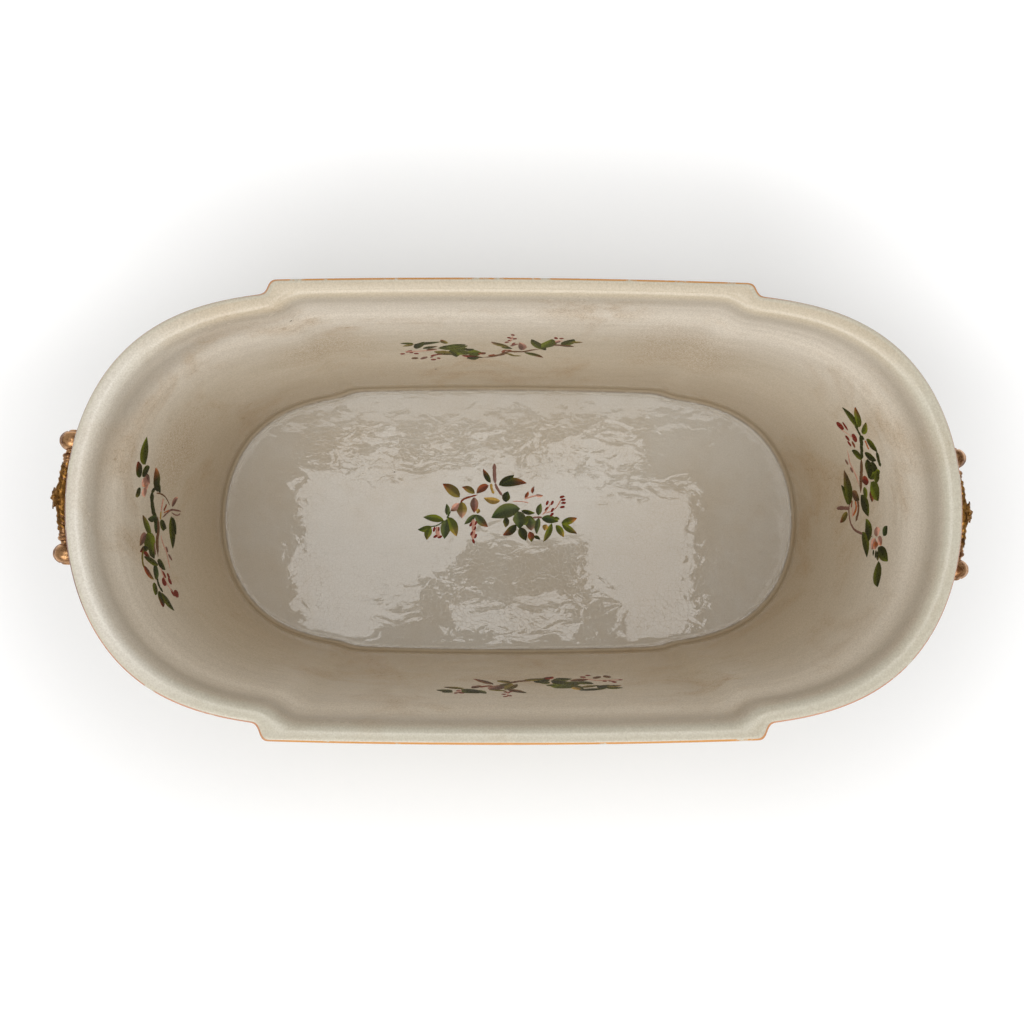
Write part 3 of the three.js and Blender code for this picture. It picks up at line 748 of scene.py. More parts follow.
floor_twigs = [
    ([(-2.9, 32), (-2.9, 24), (-2.2, 15.8)], 2.9, mauve),
    ([(-2.2, 15.8), (-0.7, 12.0), (3.7, 5.5)], 2.1, mauve),
    ([(-5.6, 15.8), (-5.0, 11.0), (-3.2, 7.5)], 2.2, ochre),
    ([(-16.4, 6.5), (-26.7, 3.5), (-30.6, 0.1)], 1.5, red_brown),
    ([(-38.5, -6.8), (-40.0, -10.0), (-41.5, -13.0)], 1.3, grey_green),
    ([(-43.4, -14.6), (-49.0, -18.4), (-54.7, -19.5)], 1.2, grey_green),
    ([(27.8, -12.2), (32.2, -11.7), (36.2, -11.9)], 1.6, mauve),
    ([(21.4, 3.2), (26.0, 4.6), (32.0, 6.4)], 1.3, pink),
    ([(12.1, 1.1), (18.5, 1.2), (25.3, 0.1)], 0.9, pink),
    ([(36.0, -10.0), (40.0, -5.6), (43.6, 0.6)], 1.0, pink),
    ([(38.0, -8.6), (46.5, -5.0), (52.0, 3.6)], 1.0, pink),
    ([(-20.4, -13.0), (-19.6, -20.0), (-20.2, -30.0)], 3.4, pink),
    ([(-49.6, -19.5), (-48.9, -24.5), (-48.2, -29.0)], 3.2, pink),
]


def berry(x, y, turn):
    """A berry as a dab, by its middle and its turn."""
    half, width = 2.1, 2.1
    dx, dy = half * math.cos(math.radians(turn)), half * math.sin(math.radians(turn))
    return (x - dx, y - dy, x + dx, y + dy, width, maroon)


floor_dabs = [berry(*place) for place in [
    (-21.8, -17.6, 60), (-17.9, -16.6, 58), (-18.9, -21.0, 62), (-21.1, -24.9, 60), (-18.1, -27.2, 66),
    (-19.8, -31.3, 110), (-51.8, -21.8, 80), (-48.3, -21.8, 78), (-50.5, -27.4, 30), (-47.1, -27.9, 24),
    (40.3, 0.1, 66), (44.3, 0.1, 62), (39.8, -4.8, 50), (44.5, -5.8, 58), (44.0, -9.5, 48),
    (52.4, 5.0, 12), (53.3, 2.6, 6), (53.6, 0.1, 4), (52.6, -3.3, 10),
]]

# The walls' designs are in points of the photograph, which is 1024 of them wide, as read off it.
# They are laid on the walls below, where the camera sees them.
back_leaves = [
    (414, 343.6, 399.8, 343.4, 1.7, moss_green, dark_green),
    (414, 344.2, 402.4, 346.4, 1.7, olive, olive),
    (413, 344.8, 441.4, 341.6, 2.1, dark_green, moss_green),
    (416, 348.8, 424.4, 341.6, 4.8, dark_green, moss_green),
    (446.4, 344, 441, 339.4, 4, olive, red_brown), (422.6, 348.6, 438, 346.2, 2.1, dark_green, brown),
    (426, 350.2, 437.6, 349, 1.7, brown, mauve), (438, 348, 468, 345.6, 4.2, moss_green, moss_green),
    (445, 347.6, 466, 344.4, 3.1, leaf_green, dark_green),
    (451, 350, 467, 348, 5, leaf_green, moss_green),
    (465, 350.2, 474, 348.7, 2.5, dark_green, moss_green), (435, 352, 456, 354.4, 3.5, olive, dark_green),
    (450, 350, 456.4, 357, 6, moss_green, dark_green),
    (457, 351.6, 467, 354.6, 5, leaf_green, moss_green),
    (467, 353, 482, 352.6, 6, leaf_green, moss_green), (461, 355.2, 484, 357.6, 2.1, maroon, dark_green),
    (467, 358.2, 480, 357, 3.6, dark_green, dark_green),
    (479.6, 352.4, 484.8, 354.2, 3.2, red_brown, brown),
    (509, 347, 491, 341.5, 2.6, olive, mauve), (502, 346, 512.6, 348.7, 2.5, moss_green, dark_green),
    (521.6, 350.4, 519.6, 342, 7, mauve, pink), (524, 352, 543.4, 357.7, 2.5, moss_green, red_brown),
    (544, 350, 531.6, 339, 5.6, moss_green, dark_green),
    (540.6, 348, 552, 339, 7.4, leaf_green, leaf_green),
    (540, 346, 545.4, 350.4, 4, dark_green, dark_green),
    (563, 345.6, 574, 339, 6.2, moss_green, dark_green),
    (560, 344.4, 574.6, 346.6, 2.1, dark_green, brown), (570, 342.6, 583, 342.3, 1.5, olive, brown),
]
back_twigs = [
    ([(431, 356), (436, 354.6), (443, 354)], 1.4, maroon),
    ([(434, 352), (440, 351.4), (447, 351.5)], 1.6, olive),
    ([(404, 351.5), (420, 351), (438, 349.6)], 0.8, pink),
    (
        [(482, 357.3), (490, 356.8), (497, 355.2), (502, 354.4), (508, 351.4), (514, 351.6), (524, 351.5),
         (531, 350), (540, 349)],
        1.5, brown,
    ),
    ([(488, 355.5), (496, 354.7)], 1.4, red_brown),
    ([(501, 353.6), (508, 353.6), (514, 355.6), (522, 355.8)], 1.2, olive),
    ([(502.4, 352.6), (505, 350.2), (512, 350.4)], 1.2, red_brown),
    ([(510.6, 346.2), (514, 344.8), (518, 343.8)], 1.5, mauve),
    ([(510, 342), (512, 338), (513, 336)], 0.7, pink),
    ([(552, 344.8), (562, 345.2), (572, 346.2)], 1.4, brown),
    ([(553, 343), (558, 340.6), (563, 341)], 1.0, pink),
]
back_dabs = [
    (400.8, 354.4, 404.2, 353.1, 1.9, maroon), (406, 352.4, 411.6, 350.2, 2.1, maroon),
    (409.8, 353.1, 413, 352, 1.6, maroon), (414.4, 353.9, 418.2, 352.9, 1.9, maroon),
    (411.8, 358.6, 418, 357.5, 2.1, brown), (421, 359.2, 427, 356.4, 2.4, mauve),
    (430.8, 357.8, 433, 355.6, 2, mauve), (431.2, 360.1, 435.8, 358.9, 1.9, maroon),
    (437, 358.3, 440.4, 357.9, 1.5, maroon), (505.2, 342.7, 508.4, 341.4, 1.7, maroon),
    (507.8, 338.1, 511.2, 337.4, 1.9, maroon), (511.2, 335.1, 514.4, 334.7, 1.9, maroon),
    (513, 339.2, 516.2, 338.1, 1.9, maroon), (508.4, 341, 511, 339.8, 1.9, maroon),
    (512, 344.6, 515, 342.4, 1.6, maroon), (554.2, 338.1, 557.8, 337.9, 1.9, maroon),
    (559.6, 338.1, 563.4, 338.7, 1.7, maroon), (554, 343.2, 560, 341, 2.2, mauve),
]

front_leaves = [
    (453, 690.6, 436, 690, 1.9, moss_green, dark_green), (464, 689.2, 443, 687.1, 1.9, olive, brown),
    (450.6, 690.8, 442.2, 692.6, 2.8, dark_green, dark_green),
    (477.6, 690, 463, 692.8, 5.2, dark_green, moss_green),
    (480, 687.4, 472, 686.4, 3.4, brown, maroon), (476.6, 690, 486.2, 693.8, 3.4, moss_green, dark_green),
    (493.4, 684.8, 473, 678.7, 2.5, brown, red_brown), (489.4, 689.8, 502, 685, 5.2, mauve, brown),
    (496.6, 680.7, 512, 683.2, 2, olive, brown), (499, 687, 511.4, 682.8, 4.2, olive, olive),
    (504.6, 690, 517.4, 684.2, 4.2, olive, brown), (508, 689, 527, 693.2, 2.5, brown, dark_green),
    (489, 690, 507, 691.4, 1.3, olive, olive), (523.6, 680.3, 547, 678.7, 1.9, olive, dark_green),
    (535.6, 683, 549.6, 679.6, 4, dark_green, dark_green),
    (540, 683.4, 549.4, 682, 2.7, moss_green, dark_green),
    (543.6, 679.2, 553, 676.6, 2.7, maroon, red_brown),
    (553, 680.4, 572, 679, 2.7, moss_green, dark_green),
    (552.6, 683.4, 567, 681.6, 4.6, dark_green, moss_green),
    (554.6, 688.2, 577, 684, 6.4, leaf_green, moss_green),
    (564, 684.4, 579, 682, 4.2, moss_green, dark_green), (570, 681.2, 590, 679.4, 2.2, brown, maroon),
    (576, 682.4, 593.6, 684.2, 2.5, moss_green, dark_green), (574.6, 687, 580, 690, 3.6, ochre, ochre),
    (578, 690.4, 607, 688.8, 2.0, dark_green, moss_green),
    (575, 685, 584, 689.4, 2.7, moss_green, dark_green),
    (581, 687.6, 600, 685.4, 1.9, olive, moss_green),
    (599.6, 688.6, 609, 684.8, 4.6, dark_green, moss_green),
    (606, 687, 621.6, 685.6, 1.9, olive, brown), (606, 688.2, 623.4, 687.7, 1.9, moss_green, dark_green),
]
front_twigs = [
    ([(478, 687.4), (486, 686.3), (493, 686)], 1.4, red_brown),
    ([(510, 683.2), (517, 681.7), (524, 681), (533, 680.3)], 1.5, brown),
    ([(547.4, 686), (551, 685.2), (556, 685.5)], 1.4, moss_green),
    ([(456, 691.8), (462, 690.6)], 0.9, pink),
    ([(583, 678.6), (596, 680.4), (612, 680.2), (621, 679.9)], 0.8, pink),
    ([(505, 691.6), (508, 693.4), (507, 696.6)], 0.9, pink),
]
front_dabs = [
    (454.2, 693, 457.8, 693.2, 1.5, maroon), (458.8, 692, 463.4, 693.7, 1.9, maroon),
    (456.6, 691, 461, 690.3, 1.2, maroon), (502.6, 694.8, 505.4, 693.9, 1.7, maroon),
    (506.2, 691.9, 509.2, 693.1, 1.9, maroon), (503.8, 696.2, 507, 696.9, 1.7, maroon),
    (507.8, 696.1, 511.4, 695.5, 1.7, maroon), (509.6, 692.4, 512.4, 691.1, 1.6, maroon),
    (504.4, 692.5, 507, 691.7, 1.5, maroon), (580.6, 677.7, 585.2, 676.8, 2.1, maroon),
    (586, 676, 589.8, 675.1, 1.8, maroon), (593.8, 678.8, 600, 676.4, 2.7, brown),
    (603.8, 677.2, 610, 676.3, 2.7, brown), (603.2, 681.7, 606.4, 680.9, 1.3, maroon),
    (608.8, 681.5, 611.4, 680.9, 1.2, maroon), (611.8, 682.2, 616.4, 681.9, 2.1, maroon),
    (618.6, 680.4, 622, 679.5, 1.5, maroon),
]

left_leaves = [
    (145.3, 464.5, 146.8, 436.5, 6.4, moss_green, leaf_green),
    (141, 477, 137.5, 461, 6.6, dark_green, maroon),
    (142, 476.5, 149.8, 467, 6, dark_green, dark_green), (146, 474, 149.8, 484, 5, mauve, pink),
    (143, 478, 145, 487, 4.6, pink, orange), (143.5, 488, 144.6, 497, 4.6, pink, pink),
    (148.5, 484, 145, 491, 3, pink, pink), (140.5, 487.5, 135.2, 496.5, 4.6, dark_green, olive),
    (157.5, 492, 155.5, 467.5, 6, dark_green, orange),
    (155.5, 489, 151, 491.5, 3.4, dark_green, dark_green),
    (158, 484, 160.4, 493, 3, dark_green, dark_green), (171.5, 507, 178.2, 497.5, 4, mauve, pink),
    (171, 516, 172.6, 549, 5.4, moss_green, dark_green),
    (172, 517, 176, 535.5, 3.4, dark_green, dark_green),
    (164, 521, 163, 531, 6, dark_green, moss_green), (156, 516, 147.6, 519, 5, teal_green, dark_green),
    (157, 517, 155.5, 534, 4.6, teal_green, dark_green),
    (151.5, 535.5, 142.3, 514.5, 5, leaf_green, brown),
    (147, 533, 152, 553, 10, leaf_green, moss_green), (146.5, 534, 139.8, 546, 5.4, mauve, brown),
    (148.5, 548, 139.8, 552, 5, dark_green, maroon), (149, 546, 154.5, 559, 6, moss_green, dark_green),
    (143, 552, 150, 557, 4, maroon, moss_green), (158.5, 565, 143.5, 556.5, 5, moss_green, dark_green),
    (157, 561, 165.6, 570, 5, dark_green, moss_green), (143.2, 565, 154, 579.5, 3.6, red_brown, olive),
    (156.6, 565, 155.4, 580, 5.6, teal_green, moss_green),
    (155.6, 583, 155, 595.5, 5, moss_green, leaf_green),
    (160, 591, 162.6, 607.5, 5, dark_green, maroon),
    (161.5, 592.5, 174.5, 611, 4.2, moss_green, dark_green),
]
left_twigs = [
    ([(152.2, 490), (151.8, 500), (153, 510), (155, 518), (157, 530)], 3.8, dark_green),
    ([(157.6, 516), (158.3, 530), (157, 541), (158, 557)], 2.6, brown),
    ([(155, 493), (161, 494), (166, 498), (170.5, 507)], 1.3, brown),
    ([(181.5, 511.5), (176, 510.3), (171, 510), (166, 514), (162, 518)], 1.9, mauve),
    ([(180.5, 513.5), (176.5, 515.4), (171, 512.4)], 1.0, mauve),
    ([(163.4, 498), (161.8, 506), (161, 512)], 1.5, pink),
    ([(166.8, 504), (163.4, 511.5)], 1.6, red_brown),
    ([(169.5, 510), (163, 513.4)], 1.2, orange),
    ([(161, 511), (160.2, 520)], 1.4, ochre),
    ([(143.6, 547), (142.2, 557), (143.6, 568)], 1.6, olive),
    ([(156.6, 576), (159, 586), (163, 592)], 2.0, dark_green),
    ([(154, 541), (155.6, 556)], 1.2, mauve),
    ([(160.6, 534), (162.6, 543), (166, 551), (168.4, 561), (170, 570)], 0.9, pink),
    ([(160, 566), (165, 580), (173, 593)], 0.9, pink),
]
left_dabs = [
    (165.6, 546.5, 168, 552.5, 1.9, mauve), (168, 554, 172.2, 560.5, 2.1, mauve),
    (161.5, 571, 166, 577.6, 2.8, maroon), (167, 573, 169.6, 578.6, 2.2, maroon),
    (162, 578.5, 166.2, 585, 4.8, maroon), (168, 578, 171.6, 584.4, 2.6, maroon),
    (170.6, 588.6, 174.4, 596.6, 2.4, maroon), (174, 590.6, 178.4, 597, 5, maroon),
]

right_leaves = [
    (858, 428.5, 842, 407, 4.6, moss_green, dark_green),
    (858, 427, 855.3, 406.6, 5.4, leaf_green, red_brown),
    (861.5, 433.5, 866.2, 421.6, 5.8, leaf_green, olive),
    (866, 439, 877.8, 452, 4.8, moss_green, dark_green),
    (862.5, 459, 851.6, 450.6, 5.2, moss_green, dark_green),
    (864.4, 453, 876.6, 460.6, 5.2, dark_green, dark_green),
    (867.5, 459, 868.6, 478, 6.4, dark_green, dark_green),
    (872.5, 461, 876.4, 477, 6.4, dark_green, moss_green),
    (880.4, 470.6, 869, 479, 7.4, leaf_green, dark_green),
    (878.4, 470, 875, 484, 5.4, moss_green, leaf_green),
    (869, 482, 861.4, 480.4, 7.4, maroon, brown), (871, 482, 878.4, 501, 8.4, leaf_green, moss_green),
    (870.6, 490, 872, 502.6, 4.2, red_brown, brown),
    (861, 495, 868.6, 516.6, 7.4, dark_green, moss_green),
    (864.4, 486.6, 866.6, 499, 3.8, leaf_green, leaf_green),
    (852.4, 491, 859.6, 500, 6, brown, dark_green),
    (849.4, 505.6, 844.2, 470, 6.4, moss_green, brown),
    (848.4, 505.6, 841, 484.6, 4.2, moss_green, dark_green),
    (848, 512.6, 840, 522.6, 5.2, olive, maroon), (868.4, 542, 866, 518.6, 6.2, dark_green, leaf_green),
    (862.2, 532, 867, 557.6, 5.8, moss_green, dark_green), (877, 526.6, 877.6, 536.6, 4.8, pink, pink),
    (875.4, 538, 871.4, 549.6, 5.6, pink, pink), (878, 537, 881.6, 545.6, 5.2, pink, orange),
    (876.2, 541, 875.2, 549.6, 5, orange, pink), (883.4, 536, 887.6, 526, 4.8, teal_green, dark_green),
    (878, 547.6, 888, 561.4, 8.4, dark_green, leaf_green),
    (873.4, 549.6, 873.2, 556.4, 1.6, dark_green, dark_green),
    (876, 550, 875.4, 558.6, 1.8, dark_green, dark_green), (878.2, 550, 878.2, 561, 3, dark_green, olive),
    (878.6, 561, 878, 587, 6.8, moss_green, dark_green),
]
right_twigs = [
    ([(854.6, 424), (858, 430.6), (861, 436), (865, 439.4)], 2.2, dark_green),
    ([(861, 435), (861.6, 447), (862, 459)], 3.4, dark_green),
    ([(861.6, 458), (861.6, 470), (861, 480), (860.6, 493)], 2.8, brown),
    ([(877, 451.6), (878.6, 460), (880.8, 466.6)], 2.4, dark_green),
    ([(836.6, 508.4), (843, 508), (850, 508.6)], 3.6, mauve),
    (
        [(850.4, 499), (849, 508), (849.6, 518), (852.4, 527), (858, 532), (868, 535.6), (874, 537)],
        1.8, mauve,
    ),
    ([(852.4, 500), (851.2, 508)], 1.2, red_brown),
    ([(855, 500.6), (856.4, 508), (853, 516)], 1.6, orange),
    ([(857.6, 499.6), (858.6, 510), (855.8, 521.6)], 2.0, brown),
    ([(853, 507), (852.4, 518)], 1.0, pink),
    ([(865, 440), (867, 445), (869, 449.6)], 1.6, orange),
    ([(839, 428), (848, 434), (857, 441)], 0.8, pink),
    ([(847, 448.6), (849, 457), (850, 463), (853.6, 470), (857, 478), (859.6, 487)], 1.1, pink),
]
right_dabs = [
    (838.6, 422, 841.8, 429.6, 5, maroon), (842.4, 421.6, 848, 430.6, 2.1, maroon),
    (845.2, 435.8, 849.8, 440.4, 2.7, maroon), (851.8, 434.6, 857.2, 441.2, 4.8, maroon),
    (847.4, 441.2, 851.6, 446.2, 2.1, maroon), (852, 441, 855.2, 447.8, 2.0, red_brown),
    (845, 459.4, 848.6, 464.8, 2.2, mauve), (850, 467.4, 853.4, 472.4, 2.4, mauve),
]


# A stroke's places across it, its height and depth in mm, and how far one layer lies over the next
ACROSS = np.linspace(-1, 1, 7)
PROUD = 0.17
SUNK = 0.12
LAYER = 0.012
LEAF_ROWS = 11
TWIG_ROWS = 12
DAB_ROWS = 9


def stroke(path, widths, colours):
    """A raised brush stroke in the sprig's own plane: rows of points, their height and colour.
    Each row goes once over the top and once back underneath."""
    path = np.asarray(path, float)
    along = np.gradient(path, axis=0)
    along /= np.linalg.norm(along, axis=1, keepdims=True) + 1e-9
    side = np.stack([-along[:, 1], along[:, 0]], axis=1)
    rows, heights, paints = [], [], []
    for k in range(len(path)):
        half = widths[k] / 2
        over = path[k] + np.outer(ACROSS, side[k]) * half
        dome = PROUD * np.sqrt(np.clip(1 - ACROSS**2, 0, 1)) ** 0.8 * min(1.0, half / 0.6)
        under = over[1:-1][::-1]
        rows.append(np.concatenate([over, under]))
        heights.append(np.concatenate([dome, np.full(len(under), -SUNK)]))
        paints.append(np.concatenate([colours[k], colours[k][1:-1][::-1]]))
    return rows, heights, paints


def leaf_stroke(x0, y0, x1, y1, width, stalk, tip, rng):
    """A leaf with one light and one dark half, a darker rib, a touch of its second colour and a
    greener margin."""
    t = np.linspace(0, 1, LEAF_ROWS)
    bend = rng.uniform(-0.09, 0.09)
    start, stop = np.array([x0, y0]), np.array([x1, y1])
    way = stop - start
    square = np.array([-way[1], way[0]])
    path = start + np.outer(t, way) + np.outer(bend * np.sin(np.pi * t), square)
    widths = width * np.clip(np.sin(np.pi * t**0.85) ** 0.8, 0.05, 1) * 1.14
    first, second = np.array(stalk[:3]), np.array(tip[:3])
    margin = np.outer(np.clip((np.abs(ACROSS) - 0.55) / 0.45, 0, 1), [0.45, 0.45, 0.45])
    light_side = rng.choice([-1, 1])
    halves = 1.0 + 0.55 * light_side * np.tanh(ACROSS * 3) * (1 - np.abs(ACROSS) * 0.3)
    rib = 1 - 0.35 * np.exp(-((ACROSS / 0.22) ** 2))
    colours = []
    for k in range(LEAF_ROWS):
        share = np.clip((t[k] - 0.45) / 0.5, 0, 1) ** 1.3
        row = first * (1 - share) + second * share
        shade = halves * rib * rng.uniform(0.86, 1.12)
        edge = np.outer(shade, (row + MARGIN_GREEN) / 2) * 1.3
        colours.append(np.outer(shade, row) * (1 - margin) + edge * margin)
    return stroke(path, widths, colours)


def twig_stroke(points, width, colour, rng):
    """A twig on an even curve through its points, tapered at both ends."""
    path = np.array(smooth_through(points, 6))
    path = path[np.linspace(0, len(path) - 1, TWIG_ROWS).round().astype(int)]
    t = np.linspace(0, 1, TWIG_ROWS)
    widths = width * np.clip(np.minimum(t, 1 - t) * 6, 0.15, 1) * rng.uniform(0.8, 1.15, TWIG_ROWS)
    shade = 1 + 0.18 * ACROSS
    return stroke(path, widths, [np.outer(shade * rng.uniform(0.88, 1.1), colour[:3]) for _ in t])


def dab_stroke(x0, y0, x1, y1, width, colour, rng):
    """One touch of the brush, round at both ends."""
    t = np.linspace(-1, 1, DAB_ROWS)
    start, stop = np.array([x0, y0]), np.array([x1, y1])
    path = (start + stop) / 2 + np.outer(t, (stop - start) / 2)
    widths = width * np.clip(1 - t**2, 0.03, 1) ** 0.5
    shade = np.ones(len(ACROSS))
    return stroke(path, widths, [np.outer(shade * rng.uniform(0.8, 1.15), colour[:3]) for _ in t])


def tube_faces(rows, around):
    """Faces of a tube through rows of points that go around it, closed at both ends."""
    faces = []
    for near in range(0, (rows - 1) * around, around):
        far = near + around
        for i in range(around):
            j = (i + 1) % around
            faces.append((far + i, far + j, near + j, near + i))
    last = (rows - 1) * around
    return faces + [tuple(range(around)), tuple(range(last, last + around))[::-1]]


def on_surface(surface, u, v):
    """Points and outward normals of a sprig's plane laid on the pot."""
    tiny = 0.3
    along_u = surface(u + tiny, v) - surface(u - tiny, v)
    along_v = surface(u, v + tiny) - surface(u, v - tiny)
    normal = np.cross(along_u, along_v)
    return surface(u, v), normal / np.linalg.norm(normal, axis=1, keepdims=True)


def sprig(name, surface, seed, design, size, fullness):
    """Lays all strokes of one sprig on a surface as one piece. The surface's u and v must turn
    counter-clockwise seen from the glazed side."""
    rng = np.random.default_rng(seed)
    leaves, twigs, dabs = design
    strokes = [twig_stroke(points, width * fullness, colour, rng) for points, width, colour in twigs]
    strokes += [leaf_stroke(*leaf[:4], leaf[4] * fullness, *leaf[5:], rng) for leaf in leaves]
    strokes += [dab_stroke(*dab[:4], dab[4] * fullness, dab[5], rng) for dab in dabs]
    parts, paints = [], []
    for number, (rows, heights, colours) in enumerate(strokes):
        flat = np.concatenate(rows) * size
        point, normal = on_surface(surface, flat[:, 0], flat[:, 1])
        lift = np.concatenate(heights) + LAYER * (number % 5)
        parts.append((point + normal * lift[:, None], tube_faces(len(rows), len(rows[0]))))
        paints.append(np.concatenate(colours))
    piece = new_piece(name, *joined(parts), sharp=60)
    paint = piece.data.attributes.new("paint", "FLOAT_COLOR", "POINT")
    colours = np.clip(np.concatenate(paints), 0, 1)
    colours = np.column_stack([colours, np.ones(len(colours))])
    paint.data.foreach_set("color", colours.astype(np.float32).ravel())
    return piece


def floor_place(u, v):
    """The floor, with the sprig's middle a little left of the pot's and towards its back."""
    return np.stack([u - 10.0, v + 13.4, np.full(np.shape(u), FLOOR_TOP)], axis=-1)


# The walls' slope, by which a mm down the wall is a little less in height
PANEL_SLOPE = 0.99
END_SLOPE = 0.98


def long_wall(panel, x0, z0, inside=True):
    """An inner or outer long wall. The sprig's top points down inside, and up outside."""
    facing = panel["side"]

    def place(u, v):
        heights = z0 + (-v if inside else v) * PANEL_SLOPE
        points = []
        for x, z in zip(np.ravel(x0 - facing * u), np.ravel(heights)):
            inset = wall_inset(z) + (WALL if inside else 0)
            points.append((x, facing * panel_y(x, panel, lean_at(z), inset, np.sign(x)), z))
        return np.array(points)

    return place


def end_wall(side, y0, z0):
    """An inner end wall, with the sprig's top pointing down to the floor."""

    def place(u, v):
        at = zip(np.ravel(y0 + side * u), np.ravel(z0 - v * END_SLOPE))
        return np.array([(side * end_x(y, z, WALL + wall_inset(z)), y, z) for y, z in at])

    return place


PICTURE_WIDTH = 1024
SEARCH_STEPS = 7
LEAST_WIDTH = 1.0
points_per_slope = camera.data.lens / camera.data.sensor_width * PICTURE_WIDTH
upward = rightward.cross(towards)


def picture_points(places):
    """Where the photograph shows places given in mm."""
    rays = places * MM - np.array(camera_place)
    slopes = np.stack([rays @ np.array(rightward), -(rays @ np.array(upward))], axis=1)
    return PICTURE_WIDTH / 2 + points_per_slope * slopes / (rays @ np.array(towards))[:, None]


def read_off(surface, x, y):
    """The place in a sprig's own plane that the photograph shows at a picture point."""
    place, tiny = np.zeros(2), 0.5
    for _ in range(SEARCH_STEPS):
        shown = picture_points(surface(place[0] + np.array([0, tiny, 0]), place[1] + np.array([0, 0, tiny])))
        slope = np.stack([shown[1] - shown[0], shown[2] - shown[0]], axis=1) / tiny
        place = place + np.linalg.solve(slope, np.array([x, y]) - shown[0])
    return place


def width_read_off(surface, start, stop, width):
    """A stroke's width in mm, across its own direction on the wall."""
    start, stop = np.array(start, float), np.array(stop, float)
    square = np.array([start[1] - stop[1], stop[0] - start[0]]) / np.linalg.norm(stop - start) * width / 2
    middle = (start + stop) / 2
    over = read_off(surface, *(middle + square)) - read_off(surface, *(middle - square))
    along = read_off(surface, *stop) - read_off(surface, *start)
    return max(abs(over[0] * along[1] - over[1] * along[0]) / np.linalg.norm(along), LEAST_WIDTH)


def design_read_off(surface, leaves, twigs, dabs):
    """A design in picture points, turned into the sprig's own mm."""

    def one(x0, y0, x1, y1, width, *colours):
        ends = (*read_off(surface, x0, y0), *read_off(surface, x1, y1))
        return (*ends, width_read_off(surface, (x0, y0), (x1, y1), width), *colours)

    def twig(spots, width, colour):
        path = [read_off(surface, *spot) for spot in spots]
        return path, width_read_off(surface, spots[0], spots[-1], width), colour

    return [one(*leaf) for leaf in leaves], [twig(*run) for run in twigs], [one(*dab) for dab in dabs]


enamel, tree, shader, at = new_material("overglaze_enamel")
paint = node(tree, "ShaderNodeAttribute", attribute_name="paint").outputs["Color"]
brushed = noise(tree, at, 900.0, 3.0, 0.6)
paint = laid_over(tree, paint, tint(168, 148, 84), ramp(tree, brushed, 0.40, 0.75, 0.0, 0.08))
net = place_group(tree, crackle, {"Place": at, "Cell": CRACKLE_CELL, "Line": CRACKLE_LINE}).outputs["Mask"]
paint = laid_over(tree, paint, tint(60, 46, 30), net, 0.30)
tree.links.new(paint, shader.inputs["Base Color"])
tree.links.new(ramp(tree, brushed, 0.3, 0.7, 0.24, 0.42), shader.inputs["Roughness"])
shader.inputs["Specular IOR Level"].default_value = 0.1
raise_surface(tree, shader, times(tree, brushed, 0.00006))

floor_design = (floor_leaves, floor_twigs, floor_dabs)
back_wall = long_wall(BACK_PANEL, -15.1, 126.2)
front_wall = long_wall(FRONT_PANEL, 12.4, 123.4)
left_wall = end_wall(-1, -8.1, 137.9)
right_wall = end_wall(1, 13.8, 131.0)
back_design = design_read_off(back_wall, back_leaves, back_twigs, back_dabs)
front_design = design_read_off(front_wall, front_leaves, front_twigs, front_dabs)
left_design = design_read_off(left_wall, left_leaves, left_twigs, left_dabs)
right_design = design_read_off(right_wall, right_leaves, right_twigs, right_dabs)
# Each sprig's surface, seed, design, size and fullness of its strokes
sprigs = {
    "floor_sprig": (floor_place, 1, floor_design, 1.0, 1.0),
    "back_wall_sprig": (back_wall, 2, back_design, 1.0, 1.35),
    "front_wall_sprig": (front_wall, 3, front_design, 1.0, 1.4),
    "left_wall_sprig": (left_wall, 4, left_design, 1.0, 1.3),
    "right_wall_sprig": (right_wall, 5, right_design, 1.0, 1.3),
    "front_outer_sprig": (long_wall(FRONT_PANEL, 0.0, 112.0, inside=False), 6, floor_design, 1.5, 1.0),
    "back_outer_sprig": (long_wall(BACK_PANEL, 0.0, 112.0, inside=False), 7, floor_design, 1.5, 1.0),
}
for name, settings in sprigs.items():
    piece = sprig(name, *settings)
    piece.data.materials.append(enamel)
    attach(piece, "root")


# Handle castings
# Each handle is one bronze casting, fire-gilt and burnished: two oval feet carved as flowers, two
# arms that roll over into scrolls, and a bowed grip between them with a bead by each scroll.


def sweep(middles, side, thick, wide, section):
    """A closed bar along points in a plane, with its section given as [through, along side] pairs."""
    middles = np.asarray(middles, float)
    along = np.gradient(middles, axis=0)
    along /= np.linalg.norm(along, axis=1, keepdims=True)
    across = np.cross(np.asarray(side, float), along)
    rings = [
        middles[k] + np.outer(section[:, 0] * thick[k], across[k]) + np.outer(section[:, 1] * wide[k], side)
        for k in range(len(middles))
    ]
    return closed_skin(rings)


def bezier(points, t):
    """Points on a Bezier curve of any degree."""
    points = np.asarray(points, float)
    degree = len(points) - 1
    weights = [math.comb(degree, i) * t**i * (1 - t) ** (degree - i) for i in range(degree + 1)]
    return sum(np.outer(w, p) for w, p in zip(weights, points))


def even(points, count):
    """The same run with its points spaced evenly."""
    gaps = np.concatenate([[0], np.cumsum(np.linalg.norm(np.diff(points, axis=0), axis=1))])
    want = np.linspace(0, gaps[-1], count)
    return np.column_stack([np.interp(want, gaps, points[:, i]) for i in range(points.shape[1])])


# The handles' sizes, in mm, and how finely their pieces are divided
SCROLL_RADIUS = 8.0
SCROLL_EYE = 4.4
ARM_THICK = 5.6
SCROLL_THICK = 4.6
ARM_HALF_WIDTH = 6.4
ARM_SIDES = 40
ARM_RINGS = 110
GRIP_RADIUS = 2.8
GRIP_SIDES = 20
GRIP_BOW = 24
PETALS = 8
FOOT_SIDES = 96


